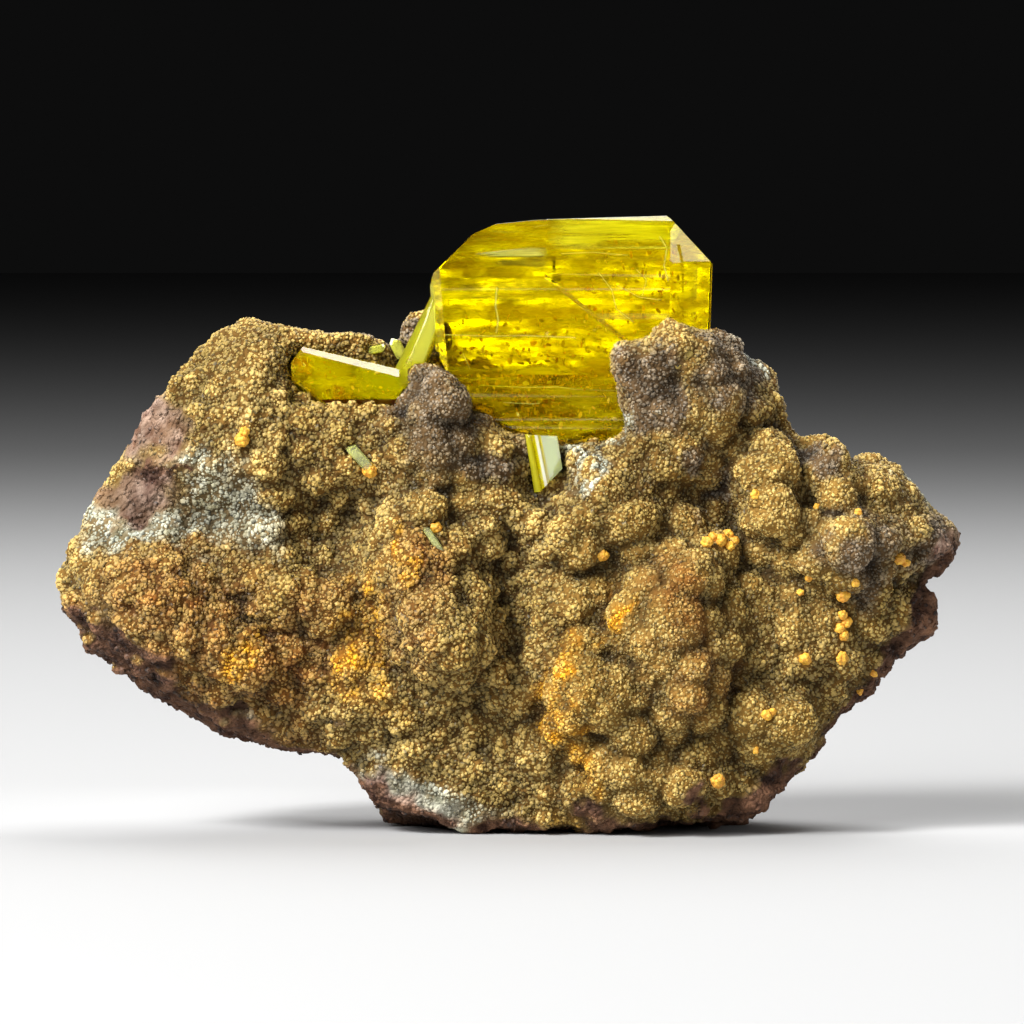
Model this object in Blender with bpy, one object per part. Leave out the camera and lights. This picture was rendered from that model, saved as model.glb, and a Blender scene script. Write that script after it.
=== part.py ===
"""Legrandite crystals on a block of druse-coated limonite, a display specimen about 63 mm wide.

The rock is one piece, broken at its sides and back. A cluster of intergrown legrandite crystals sits
in a recess at its top, and smaller loose crystals sit in sockets of their own. Sizes are written in
millimetres: +X to the right, +Y from the druse-coated front to the broken back, +Z up.
"""

import math
from collections import namedtuple

import bmesh
import bpy
import numpy as np
from mathutils import Euler, Matrix, Vector, noise

MM = 0.001
GAP = 0.3  # clearance between a crystal and its socket, or between two crystals

# The outline of the rock as seen from the front, clockwise from its left peak, as (x, z).
OUTLINE = (
    (-18.7, 35.8), (-17.6, 35.4), (-15.5, 34.9), (-11.2, 34.5), (-8.4, 34.2), (-7.6, 35.0),
    (-6.3, 35.4), (-2.9, 34.9), (2.0, 34.3), (7.6, 34.5), (11.7, 35.5), (12.6, 35.1),
    (14.5, 34.4), (16.1, 33.4), (17.1, 32.3), (18.4, 30.7), (18.6, 29.8), (18.3, 28.7),
    (19.3, 27.7), (20.9, 26.3), (22.1, 27.4), (22.7, 26.9), (23.2, 26.0), (24.9, 26.0),
    (26.3, 25.8), (27.4, 25.2), (28.3, 23.7), (29.6, 22.0), (30.4, 21.8), (31.1, 21.1),
    (31.4, 20.0), (30.9, 18.7), (29.6, 18.4), (28.6, 18.1), (28.5, 16.6), (29.6, 15.2),
    (29.5, 14.1), (28.8, 13.1), (26.6, 12.3), (25.8, 10.3), (24.6, 9.2), (23.2, 8.1),
    (21.9, 7.0), (21.0, 5.7), (20.6, 4.6), (18.0, 2.7), (17.1, 1.5), (15.5, 1.3),
    (12.4, 1.0), (9.9, 0.8), (7.6, 0.9), (7.1, 0.3), (5.1, 0.4), (4.1, 0.7),
    (1.3, 0.6), (-0.4, 0.4), (-2.0, 0.0), (-3.1, 0.0), (-4.4, 0.3), (-5.2, 1.1),
    (-7.6, 1.2), (-9.2, 2.0), (-10.8, 3.7), (-10.6, 4.6), (-11.3, 5.3), (-12.1, 5.7),
    (-15.1, 5.5), (-17.2, 5.7), (-18.0, 6.4), (-20.0, 6.4), (-21.3, 7.3), (-23.8, 9.1),
    (-25.1, 10.0), (-26.6, 10.6), (-28.3, 12.1), (-29.6, 12.8), (-30.1, 14.1), (-30.8, 15.1),
    (-31.4, 16.2), (-30.9, 17.2), (-31.4, 18.2), (-30.1, 20.7), (-29.7, 22.3), (-28.1, 24.4),
    (-26.4, 26.7), (-25.5, 29.4), (-23.0, 31.3), (-21.8, 33.5), (-20.6, 35.0), (-19.8, 34.9),
)

GRID_STEP = 0.9  # spacing of the sheet that the rock is modelled on
VOXEL = 0.5
ROCK_TRIANGLES = 7600
BLANK = 80  # side of the cube that a crystal is cut from
SAME_PLANE = 0.5  # degrees between faces that count as one facet

# How far the rock reaches forward (-Y) and back (+Y) of the plane of its outline.
FRONT_DEPTH = 6.4
EDGE_WIDTH = 6.5  # the front curves back to the outline over this width
TOP_RIM = 1.6
BOTTOM_RIM = 5.2
BACK_RIM = 4.5
BACK_BOTTOM_RIM = 7.5
RIM_HEIGHT = 9.0  # the rim grows from its bottom value to its top value over this height
BELLY_DROP = (0, 0.3, 1.9, 0)  # how far the underside hangs below the outline, from front to back
BELLY_HEIGHT = 2.6  # only the lowest stretch of the outline has this belly
FRONT_CROWN = 1.6  # the front stands this much further forward at its middle
ROUNDING = 4.0  # width of the curve from the rim to the broken back
BACK_TAPER = 0.10  # the back is narrower than the front by this share
TAPER_SPREAD = 0.8

# Unevenness as (size, amount, seed).
FRONT_WAVES = ((4.2, 0.8, 3.1), (1.9, 0.6, 8.4))
BACK_WAVES = ((7.0, 1.5, 17.0), (2.3, 0.5, 5.0))

Swell = namedtuple("Swell", "x z wide tall turn rise")
Level = namedtuple("Level", "x z wide tall turn reach edge square")
Break = namedtuple("Break", "reach x z slope_x slope_z")
Facet = namedtuple("Facet", "direction distance")

# Rounded swells and hollows of the druse surface.
SWELLS = (
    Swell(-25.0, 14.6, 8.5, 5.6, -25, 2.2),  # rusty lobe at the lower left
    Swell(-18.3, 12.1, 3.4, 2.8, 0, 1.3),
    Swell(-15.9, 16.8, 2.8, 2.6, 0, 1.7),
    Swell(-12.6, 16.0, 2.6, 2.3, 0, 1.2),
    Swell(-23.6, 22.8, 5.0, 3.0, -10, -1.7),  # broken hollow above the lobe
    Swell(-12.0, 21.2, 4.4, 3.9, 20, -2.4),  # hollow left of the tongue
    Swell(-6.1, 16.9, 4.6, 7.6, 18, 3.0),  # tongue
    Swell(-4.3, 13.4, 3.8, 3.2, 20, 2.4),
    Swell(-11.0, 9.5, 4.5, 3.5, 20, 0.9),
    Swell(0.0, 16.0, 1.9, 6.5, 5, -2.0),  # groove right of the tongue
    Swell(-1.5, 7.5, 4.0, 4.5, 0, -0.8),
    Swell(3.7, 20.9, 2.8, 2.5, 0, 1.5),  # the first of the botryoidal mounds
    Swell(6.3, 24.0, 3.2, 2.3, 15, 1.7),
    Swell(8.1, 21.6, 2.8, 2.4, 0, 1.7),
    Swell(11.1, 14.9, 4.4, 5.0, 15, 2.6),
    Swell(12.5, 18.8, 3.2, 3.0, 0, 1.6),
    Swell(12.2, 10.0, 2.7, 2.9, 0, 2.3),
    Swell(5.1, 10.6, 2.8, 4.0, 0, 2.0),
    Swell(8.4, 8.8, 2.8, 2.9, 0, 1.6),
    Swell(8.0, 5.3, 3.5, 2.4, 0, 1.8),
    Swell(9.0, 2.9, 4.2, 2.3, 0, 2.2),
    Swell(12.3, 3.6, 3.0, 2.3, 0, 1.8),
    Swell(18.8, 8.0, 4.2, 3.2, -35, 1.4),
    Swell(13.2, 24.4, 2.5, 4.8, 35, -1.8),  # valley under the right ridge
    Swell(16.4, 20.2, 2.6, 3.4, 20, -1.3),
    Swell(18.4, 25.4, 2.6, 2.6, 0, 2.6),  # cones on the right shoulder
    Swell(22.1, 25.4, 2.0, 3.1, 5, 2.9),
    Swell(18.1, 22.2, 2.7, 2.4, 0, 1.8),
    Swell(23.1, 20.2, 3.5, 2.9, 20, 2.9),  # dark faceted lump
    Swell(27.4, 21.0, 3.2, 2.4, 0, 0.9),
)

# Places where the surface is drawn to a set reach: the crystal recess and what stands round it.
LEVELS = (
    Level(1.8, 32.5, 8.6, 6.6, 0, -2.0, 0.45, 4),  # recess behind the big crystals
    Level(-11.6, 31.8, 5.6, 3.0, -6, 2.2, 0.5, 3),  # bed of the left lath
    Level(-7.4, 32.6, 2.6, 3.8, -22, 0.7, 0.6, 2.5),  # bed of the bridge and the buds
    Level(-4.7, 29.9, 2.7, 2.9, 0, 8.2, 0.5, 2),  # knobs in front of the crystals, left
    Level(-5.0, 26.6, 3.0, 2.7, 0, 8.0, 0.8, 2),
    Level(-1.7, 27.2, 4.0, 2.3, -29, 6.6, 0.7, 2),
    Level(11.2, 31.0, 4.9, 4.4, 17, 7.4, 0.32, 4),  # ridge in front of the crystals, right
    Level(8.4, 33.3, 2.1, 1.6, 0, 6.8, 0.5, 3),
    Level(11.9, 26.4, 2.9, 3.4, -30, 7.2, 0.7, 2),
    Level(2.3, 25.2, 2.7, 3.6, 0, 4.4, 0.6, 2.5),  # bay of the lower prism
)

# The flat breaks of the back: each one's reach at a point (x, z) and its slopes from there.
BREAKS = (
    Break(10.5, -13, 18, 0.26, 0.06),
    Break(11.1, 13, 18, -0.27, 0.08),
    Break(11.4, 0, 23, -0.05, -0.36),
    Break(11.2, 0, 12, 0.06, 0.30),
    Break(10.7, -4, 16, 0.12, -0.16),
)


class Crystal:
    """A convex crystal: a centre, a tilt in degrees about X, Y and Z, and the facets that bound it."""

    def __init__(self, centre, facets, tilt=(0, 0, 0)):
        self.centre = Vector(centre)
        self.facets = facets
        self.turn = Euler([math.radians(a) for a in tilt]).to_matrix()


def squared(amount):
    return amount * amount


def smooth(t):
    """0 below 0, 1 above 1 and an eased curve between."""
    t = min(max(t, 0.0), 1.0)
    return t * t * (3 - 2 * t)


def oval_radius(shape, x, z, power=2.0):
    """0 at the centre of an oval, 1 on its edge."""
    turn = math.radians(shape.turn)
    across = (x - shape.x) * math.cos(turn) + (z - shape.z) * math.sin(turn)
    along = (z - shape.z) * math.cos(turn) - (x - shape.x) * math.sin(turn)
    return (abs(across / shape.wide) ** power + abs(along / shape.tall) ** power) ** (1 / power)


def outline_distances(points):
    """How far each (x, z) point lies from the nearest stretch of the outline."""
    corners = np.array(OUTLINE)
    steps = np.roll(corners, -1, axis=0) - corners
    best = np.full(len(points), np.inf)
    for corner, step in zip(corners, steps):
        share = np.clip((points - corner) @ step / (step @ step), 0, 1)
        best = np.minimum(best, np.linalg.norm(points - corner - share[:, None] * step, axis=1))
    return best


def rim(z, top, bottom):
    return bottom + (top - bottom) * smooth(z / RIM_HEIGHT)


def waviness(x, z, waves):
    return sum(amount * noise.noise(Vector((x / size + seed, seed * 0.7, z / size)))
               for size, amount, seed in waves)


def front_reach(x, z, inside):
    """How far the front stands forward of the outline's plane, `inside` mm in from the outline."""
    edge = rim(z, TOP_RIM, BOTTOM_RIM)
    depth = FRONT_DEPTH + FRONT_CROWN * math.exp(-squared((x - 7) / 14) - squared((z - 12) / 11))
    rounding = math.sqrt(1 - squared(1 - min(inside / EDGE_WIDTH, 1.0)))
    reach = edge + (depth - edge) * rounding
    for swell in SWELLS:
        radius = oval_radius(swell, x, z)
        if radius < 1:
            reach += swell.rise * (1 - radius**2.2) ** 1.1 * (0.35 + 0.65 * rounding)
    reach += waviness(x, z, FRONT_WAVES)
    for level in LEVELS:
        radius = oval_radius(level, x, z, level.square)
        share = smooth((1 - radius) / level.edge)
        reach += (level.reach - reach) * share
    return reach


def back_reach(x, z, inside):
    """How far the broken back stands behind the outline's plane: a few flat breaks meeting in edges."""
    edge = rim(z, BACK_RIM, BACK_BOTTOM_RIM)
    breaks = [b.reach + b.slope_x * (x - b.x) + b.slope_z * (z - b.z) for b in BREAKS]
    rounding = smooth(inside / ROUNDING) ** 0.6
    return edge + (min(breaks) - edge + waviness(x, z, BACK_WAVES)) * rounding


def rock_sheet():
    """The outline filled with a grid of faces, in the XZ plane."""
    sheet = bmesh.new()
    sheet.faces.new([sheet.verts.new((x, 0, z)) for x, z in OUTLINE])
    bmesh.ops.triangulate(sheet, faces=sheet.faces)
    corners = np.array(OUTLINE)
    for axis, along in ((0, Vector((1, 0, 0))), (1, Vector((0, 0, 1)))):
        for place in np.arange(corners[:, axis].min() + GRID_STEP, corners[:, axis].max(), GRID_STEP):
            geometry = sheet.verts[:] + sheet.edges[:] + sheet.faces[:]
            bmesh.ops.bisect_plane(sheet, geom=geometry, dist=1e-3, plane_co=along * place, plane_no=along)
    return sheet


def rock_shape():
    """The rock as a closed bmesh in millimetres: the sheet extruded in three steps, then set in depth."""
    rock = rock_sheet()
    faces = rock.faces[:]
    for _ in range(3):
        made = bmesh.ops.extrude_face_region(rock, geom=faces)["geom"]
        faces = [item for item in made if isinstance(item, bmesh.types.BMFace)]
        bmesh.ops.translate(rock, vec=(0, 1, 0), verts=list({v for f in faces for v in f.verts}))
    inside = outline_distances(np.array([(v.co.x, v.co.z) for v in rock.verts]))
    for vert, depth in zip(rock.verts, inside):
        x, share, z = vert.co.x, vert.co.y / 3, vert.co.z
        front, back = -front_reach(x, z, depth), back_reach(x, z, depth)
        vert.co.y = front + (back - front) * share
        uneven = noise.noise(Vector((x / 5, share * 3, z / 5)))
        taper = BACK_TAPER * share * (1 + TAPER_SPREAD * uneven)
        vert.co.x = x * (1 - taper)
        vert.co.z = z - taper * max(z - RIM_HEIGHT + 1, 0)
        if z < BELLY_HEIGHT:
            vert.co.z -= BELLY_DROP[round(3 * share)]
    bmesh.ops.recalc_face_normals(rock, faces=rock.faces)
    bmesh.ops.scale(rock, vec=(MM, MM, MM), verts=rock.verts)
    return rock


def evaluated_mesh(obj):
    graph = bpy.context.evaluated_depsgraph_get()
    return bpy.data.meshes.new_from_object(obj.evaluated_get(graph))


def fill_cut(shape, cut):
    edges = [item for item in cut["geom_cut"] if isinstance(item, bmesh.types.BMEdge)]
    bmesh.ops.holes_fill(shape, edges=edges)


def linked(name, mesh, material):
    obj = bpy.data.objects.new(name, mesh)
    obj.data.materials.append(material)
    bpy.context.scene.collection.objects.link(obj)
    return obj


def mesh_of(shape, name):
    mesh = bpy.data.meshes.new(name)
    shape.to_mesh(mesh)
    shape.free()
    return mesh


def make_rock(material):
    """The rock, remeshed evenly, lightened and cut flat where it rests."""
    rock = linked("rock_draft", mesh_of(rock_shape(), "rock_draft"), material)
    even = rock.modifiers.new("even", "REMESH")
    even.mode = "VOXEL"
    even.voxel_size = VOXEL * MM
    soften = rock.modifiers.new("soften", "SMOOTH")
    soften.iterations = 2
    lighten = rock.modifiers.new("lighten", "DECIMATE")
    bpy.context.view_layer.update()
    even_mesh = evaluated_mesh(rock)
    even_mesh.calc_loop_triangles()
    lighten.ratio = ROCK_TRIANGLES / len(even_mesh.loop_triangles)
    bpy.context.view_layer.update()
    flat = bmesh.new()
    flat.from_mesh(evaluated_mesh(rock))
    geometry = flat.verts[:] + flat.edges[:] + flat.faces[:]
    fill_cut(flat, bmesh.ops.bisect_plane(flat, geom=geometry, dist=1e-6, plane_co=(0, 0, 0),
                                          plane_no=(0, 0, -1), clear_outer=True))
    bpy.data.objects.remove(rock)
    return linked("matrix", mesh_of(flat, "matrix"), material)


def crystal_mesh(crystal, name, grow=0.0):
    """A cube cut down by each facet's plane, `grow` mm outside the facet."""
    shape = bmesh.new()
    bmesh.ops.create_cube(shape, size=BLANK * MM, matrix=Matrix.Translation(crystal.centre * MM))
    for facet in crystal.facets:
        outwards = crystal.turn @ Vector(facet.direction).normalized()
        place = (crystal.centre + outwards * (facet.distance + grow)) * MM
        geometry = shape.verts[:] + shape.edges[:] + shape.faces[:]
        fill_cut(shape, bmesh.ops.bisect_plane(shape, geom=geometry, dist=1e-7, plane_co=place,
                                               plane_no=outwards, clear_outer=True))
    bmesh.ops.dissolve_limit(shape, angle_limit=math.radians(SAME_PLANE), verts=shape.verts, edges=shape.edges)
    bmesh.ops.recalc_face_normals(shape, faces=shape.faces)
    return mesh_of(shape, name)


def facets(*rows):
    return tuple(Facet((x, y, z), distance) for x, y, z, distance in rows)


def cluster_crystals():
    """The intergrown crystals: three stout parallel blocks, the bridge and the left lath."""
    left_block = Crystal((-0.5, -0.2, 36.0), facets(
        (0.02, -1, 0.03, 4.5), (-0.08, -0.652, 0.754, 6.03), (-0.10, 0, 1, 6.28), (0, 0, 1, 6.54),
        (-0.4, 0, 0.916, 5.98), (-0.7, 0, 0.71, 5.5), (-0.97, 0, 0.24, 5.5),
        (-0.996, 0, -0.087, 5.0), (-0.8, -0.6, -0.05, 6.15), (-0.883, 0, -0.469, 5.41),
        (0, 0.66, 0.75, 6.2), (0, 1, 0, 4.2), (0, 0.7, -0.7, 6.0), (0, 0, -1, 5.0), (1, 0, 0, 8.9)))
    right_block = Crystal((6.5, -0.2, 37.2), facets(
        (0, -1, 0.01, 5.0), (-0.065, -0.78, 0.62, 6.42), (-0.02, -0.4, 0.91, 6.5), (-0.03, 0, 1, 5.49),
        (0.6, 0, 0.8, 7.02), (0.72, 0, 0.69, 6.98), (0.777, -0.63, 0, 6.57),
        (0.9, 0.43, -0.05, 6.1), (0, 0.7, 0.7, 6.3), (0, 1, 0, 3.9),
        (-1, 0, 0.05, 4.3), (-0.62, -0.45, -0.78, 3.3), (0, 0, -1, 5.4), (0, 0.7, -0.7, 6.2)))
    lower_block = Crystal((2.0, 0, 31.0), facets(
        (0, -1, 0.02, 4.24), (0, 0, -1, 3.8), (-0.33, 0, -0.94, 3.43), (-0.59, -0.03, -0.807, 3.87),
        (-0.883, 0, -0.469, 5.27), (1, 0, 0, 6.4), (0, 1, 0, 3.4),
        (0, 0.6, -0.8, 4.9), (0, 0, 1, 2.4)))
    bridge = Crystal((-6.9, -3.4, 33.1), facets(
        (1, -0.2, 0.06, 0.95), (-1, 0.1, 0.06, 0.66), (0.3, -1, 0.03, 0.8), (-0.55, -0.85, 0.04, 0.78),
        (0, 1, 0, 1.0), (0.75, -0.2, -1, 3.3), (-0.35, 0, -1, 3.55), (0, 0, 1, 4.3)), tilt=(0, 23, 0))
    left_lath = Crystal((-11.8, -3.7, 31.5), facets(
        (0.228, 0, 0.974, 1.6), (0.19, -0.62, 0.76, 1.86), (0, -1, 0.04, 1.55), (0, -0.75, -0.66, 2.1),
        (0, 0, -1, 1.95), (-0.57, -0.1, -0.82, 2.1), (-1, -0.05, -0.08, 3.45),
        (-0.8, 0, 0.6, 3.5), (-0.75, -0.65, 0.1, 3.15), (0, 1, 0, 1.5),
        (0, 0.7, 0.7, 2.0), (1, 0, 0, 4.0)))
    return left_block, right_block, lower_block, bridge, left_lath


def loose_crystals():
    """Name and shape of each small crystal that stands alone on the rock."""
    def on_surface(x, z, lift):
        inside = outline_distances(np.array([(x, z)]))[0]
        return (x, -front_reach(x, z, inside) - lift, z)

    def prism(wide, deep, long, point):
        """A four-sided prism with bevelled long edges and a roof at each end."""
        half = long / 2
        return facets(
            (1, 0, 0, wide / 2), (-1, 0, 0, wide / 2), (0, -1, 0, deep / 2), (0, 1, 0, deep / 2),
            (1, -1, 0, (wide + deep) * 0.30), (-1, -1, 0, (wide + deep) * 0.30),
            (point, 0, 1, half), (-point, -0.3, 1, half), (point, 0.2, -1, half), (-point, 0, -1, half))

    slanted_prism = facets(
        (-1, 0, 0, 1.08), (1, 0, 0, 1.1), (-0.55, -0.83, 0, 0.8), (0.4, -0.92, 0, 0.85), (0, 1, 0, 0.75),
        (0.2, 0, 0.98, 1.85), (-0.6, -0.3, 0.75, 2.0), (0.6, 0, -0.8, 1.15), (0, 0, -1, 1.95))
    return {
        "lower_prism": Crystal((2.3, -5.15, 25.8), slanted_prism, tilt=(0, -9, 0)),
        "bud_crystal": Crystal((-7.9, -1.2, 33.5), prism(0.8, 0.8, 1.3, 0.9), tilt=(0, -28, 0)),
        "bud_crystal_small": Crystal((-9.4, -2.3, 33.55), prism(0.55, 0.6, 1.0, 0.6), tilt=(0, 78, 0)),
        "pale_lath": Crystal(on_surface(-10.5, 26.2, 0.15), prism(0.75, 0.75, 1.75, 0.5), tilt=(10, -42, 0)),
        "sliver_crystal": Crystal(on_surface(-5.4, 20.6, 0.1), prism(0.5, 0.7, 1.65, 0.7), tilt=(0, -33, 0)),
        "amber_lath": Crystal(on_surface(11.8, 33.0, 0.1), prism(0.6, 0.7, 1.45, 0.5), tilt=(0, 45, 0)),
    }


def stone_material():
    material = bpy.data.materials.new("limonite")
    material.use_nodes = True
    shader = material.node_tree.nodes["Principled BSDF"]
    shader.inputs["Base Color"].default_value = (0.29, 0.20, 0.08, 1)
    shader.inputs["Roughness"].default_value = 0.85
    return material


def crystal_material(name, colour):
    material = bpy.data.materials.new(name)
    material.use_nodes = True
    shader = material.node_tree.nodes["Principled BSDF"]
    shader.inputs["Base Color"].default_value = (*colour, 1)
    shader.inputs["Roughness"].default_value = 0.08
    shader.inputs["Transmission Weight"].default_value = 0.8
    shader.inputs["IOR"].default_value = 1.7
    return material


def combine(target, mesh, operation, name):
    """Adds a Boolean of target with a helper that holds the mesh."""
    helper = bpy.data.objects.new(name, mesh)
    helper.hide_render = True
    helper.display_type = "WIRE"
    bpy.context.scene.collection.objects.link(helper)
    boolean = target.modifiers.new(name, "BOOLEAN")
    boolean.operation = operation
    boolean.object = helper


def settle(objects):
    """Moves everything so that the origin is under the middle of the whole, on the surface it stands on."""
    bpy.context.view_layer.update()
    corners = []
    for obj in objects:
        corners += [vert.co.copy() for vert in evaluated_mesh(obj).vertices]
    low = Vector([min(c[axis] for c in corners) for axis in range(3)])
    high = Vector([max(c[axis] for c in corners) for axis in range(3)])
    shift = Vector((-(low.x + high.x) / 2, -(low.y + high.y) / 2, -low.z))
    for obj in bpy.context.scene.objects:
        obj.location += shift


def main():
    for obj in list(bpy.data.objects):
        bpy.data.objects.remove(obj)
    yellow = crystal_material("legrandite", (0.95, 0.72, 0.02))
    pale = crystal_material("pale_legrandite", (0.85, 0.85, 0.25))
    amber = crystal_material("amber_legrandite", (0.75, 0.42, 0.08))
    rock = make_rock(stone_material())

    blocks = cluster_crystals()
    cluster = linked("crystal_cluster", crystal_mesh(blocks[0], "crystal_cluster"), yellow)
    for number, block in enumerate(blocks[1:], 1):
        combine(cluster, crystal_mesh(block, "grown_on"), "UNION", f"grown_on_{number}")
    for number, block in enumerate(blocks):
        combine(rock, crystal_mesh(block, "socket", GAP), "DIFFERENCE", f"cluster_socket_{number}")

    made = [rock, cluster]
    finishes = {"pale_lath": pale, "sliver_crystal": pale, "amber_lath": amber}
    for name, crystal in loose_crystals().items():
        made.append(linked(name, crystal_mesh(crystal, name), finishes.get(name, yellow)))
        combine(rock, crystal_mesh(crystal, "socket", GAP), "DIFFERENCE", name + "_socket")
    settle(made)


main()
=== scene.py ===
"""Legrandite crystals on a block of druse-coated limonite: the finish of every surface.

The rock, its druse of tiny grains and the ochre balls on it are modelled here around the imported
solids. The clear yellow crystals get their fine growth ridges and what is sealed inside them.
Places are in millimetres in the frame's axes: +X right, +Y from the druse to the broken back, +Z up.
"""

import math
import random
from collections import namedtuple

import bmesh
import bpy
import numpy as np
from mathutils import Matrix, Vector, noise
from mathutils.bvhtree import BVHTree


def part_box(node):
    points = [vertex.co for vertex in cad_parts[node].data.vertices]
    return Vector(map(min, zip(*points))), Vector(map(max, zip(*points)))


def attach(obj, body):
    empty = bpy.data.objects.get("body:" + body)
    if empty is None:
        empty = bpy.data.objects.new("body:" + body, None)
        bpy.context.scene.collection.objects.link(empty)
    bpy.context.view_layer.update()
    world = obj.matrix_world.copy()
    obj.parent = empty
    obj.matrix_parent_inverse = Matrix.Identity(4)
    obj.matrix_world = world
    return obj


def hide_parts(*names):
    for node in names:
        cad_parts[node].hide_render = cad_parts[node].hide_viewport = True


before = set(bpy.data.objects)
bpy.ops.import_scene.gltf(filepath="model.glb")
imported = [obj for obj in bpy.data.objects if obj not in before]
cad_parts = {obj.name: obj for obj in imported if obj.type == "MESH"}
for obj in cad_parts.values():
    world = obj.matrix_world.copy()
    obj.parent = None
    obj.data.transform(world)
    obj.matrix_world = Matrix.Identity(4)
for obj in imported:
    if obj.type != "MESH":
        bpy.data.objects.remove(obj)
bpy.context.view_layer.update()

MM = 0.001
BODY = "root"
CLUSTER = "crystal_cluster"

# The camera stands a little above the specimen and looks straight at its druse-coated front.
CAMERA_DISTANCE = 450.0
CAMERA_RISE = 2.5  # degrees
CAMERA_TARGET = (0.0, -0.53, 22.12)
PICTURE_WIDTH = 71.68  # how much of the specimen's plane the picture takes in
SENSOR = 36.0

# A mound is a half-buried ball: where it stands, its radius, and how much taller than wide it is.
# The domes of the right half stand out further than the swells of the left half.
Mound = namedtuple("Mound", "x z radius tall", defaults=(1.0,))
DOMES = (
    Mound(12.5, 18.8, 1.2), Mound(11.1, 15.0, 2.2, 1.25), Mound(9.0, 17.4, 1.1), Mound(7.9, 21.9, 1.4),
    Mound(6.3, 24.0, 1.5, 0.8), Mound(3.7, 20.9, 1.4), Mound(12.1, 10.0, 1.3), Mound(5.3, 10.4, 1.6, 1.4),
    Mound(6.3, 13.4, 1.1), Mound(9.5, 11.4, 1.4), Mound(7.9, 7.6, 1.5), Mound(9.7, 5.3, 1.2, 0.7),
    Mound(12.3, 5.5, 1.1, 0.7), Mound(8.6, 2.8, 1.6, 0.9), Mound(11.7, 3.2, 1.4, 0.8),
    Mound(4.9, 4.2, 1.2, 1.3),
    Mound(18.8, 7.9, 2.3, 0.8), Mound(18.4, 25.4, 1.4, 1.4), Mound(22.1, 25.3, 1.2, 1.8),
    Mound(18.1, 22.3, 1.7), Mound(23.1, 20.3, 2.0), Mound(25.2, 18.6, 1.3), Mound(20.7, 19.0, 1.2),
    Mound(13.7, 32.0, 1.0), Mound(12.6, 29.4, 1.2, 1.3), Mound(10.4, 28.0, 1.0), Mound(16.3, 29.2, 1.2),
    Mound(-6.1, 31.6, 1.1), Mound(-4.7, 30.1, 1.2), Mound(-6.9, 29.8, 1.0), Mound(-5.7, 27.5, 1.4),
    Mound(-4.0, 27.3, 1.1), Mound(-5.4, 25.2, 1.3), Mound(-3.3, 24.8, 1.1), Mound(-1.0, 26.6, 1.0),
    Mound(0.5, 26.9, 0.7), Mound(8.2, 15.2, 1.7, 1.2), Mound(9.6, 13.6, 1.5), Mound(7.0, 10.3, 1.5, 1.3),
    Mound(13.4, 13.2, 1.3), Mound(11.0, 7.6, 1.3), Mound(6.6, 5.2, 1.5, 1.1), Mound(3.2, 7.6, 1.2, 1.3),
    Mound(-13.4, 28.9, 0.8, 1.3), Mound(-12.2, 28.8, 0.85, 1.4), Mound(-11.0, 28.8, 0.8, 1.45),
    Mound(-9.8, 28.8, 0.85, 1.35), Mound(-8.7, 28.9, 0.8, 1.2),
    Mound(20.4, 21.4, 1.3), Mound(24.9, 16.2, 1.1), Mound(3.2, 24.0, 1.3, 0.8), Mound(5.2, 22.0, 1.1),
)
SWELLS = (
    Mound(-15.9, 16.7, 2.0), Mound(-12.7, 16.0, 1.7), Mound(-18.3, 12.1, 2.0), Mound(-22.5, 15.5, 1.5),
    Mound(-26.0, 17.0, 1.5), Mound(-23.5, 11.5, 1.3), Mound(-13.8, 11.6, 1.5), Mound(-10.4, 9.6, 1.4),
    Mound(-7.1, 18.8, 2.0), Mound(-5.7, 15.5, 2.2), Mound(-4.0, 13.3, 1.6),
    Mound(-7.9, 21.0, 1.4), Mound(-2.9, 16.4, 1.5), Mound(-1.8, 20.2, 1.3), Mound(0.4, 9.4, 1.5),
    Mound(-2.6, 7.6, 1.4), Mound(1.8, 5.2, 1.2), Mound(-6.6, 6.2, 1.3), Mound(-17.4, 8.6, 1.4),
)
DOME_DEPTH = 0.38  # how deep a ball's middle lies, as a share of its radius
SWELL_DEPTH = 0.72

# Smaller mounds are scattered: on which surface, closest spacing, smallest and largest radius,
# share of the radius buried, seed.
Scatter = namedtuple("Scatter", "where spacing low high buried seed")
SCATTERS = (
    Scatter("domed", 2.0, 1.2, 1.9, 0.45, 4), Scatter("granular", 1.9, 0.8, 1.3, 0.5, 5),
    Scatter("granular", 0.8, 0.32, 0.55, 0.25, 9),
)
FLATTENED = 0.75  # a mound's height against its width
SMOOTH_CORNER = (-6.5, 32.3)  # the rim above and left of this (X, Z) has no small mounds

ROCK_VOXEL = 0.30
NEAR_CRYSTAL = 0.05  # grains keep this far from a crystal

# Relief from noise: how fine the noise is, and how high its peaks lift the surface.
RAGGED = (420.0, 2.2)
PITTED = (900.0, 0.28)
UNEVEN = (700.0, 0.6)
KNOBBLY = (3600.0, -0.16)  # here the peaks are the gaps between the knobs

# The druse is a coat of small blocky grains.
GRAIN_DENSITY = 16.5  # grains a square millimetre
GRAIN_RADIUS = 0.18
GRAIN_SPREAD = (0.55, 1.5)
GRAIN_STRETCH = (0.8, 1.4)  # smallest and largest change of a grain's width
GRAIN_RISE = (0.8, 1.2)  # and of its height
GRAIN_BURIED = 0.3
GRAIN_TILT = 0.7  # how far a grain leans, in radians
BROKEN_GRAINS = 0.12  # how densely grains grow on broken stone
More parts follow.
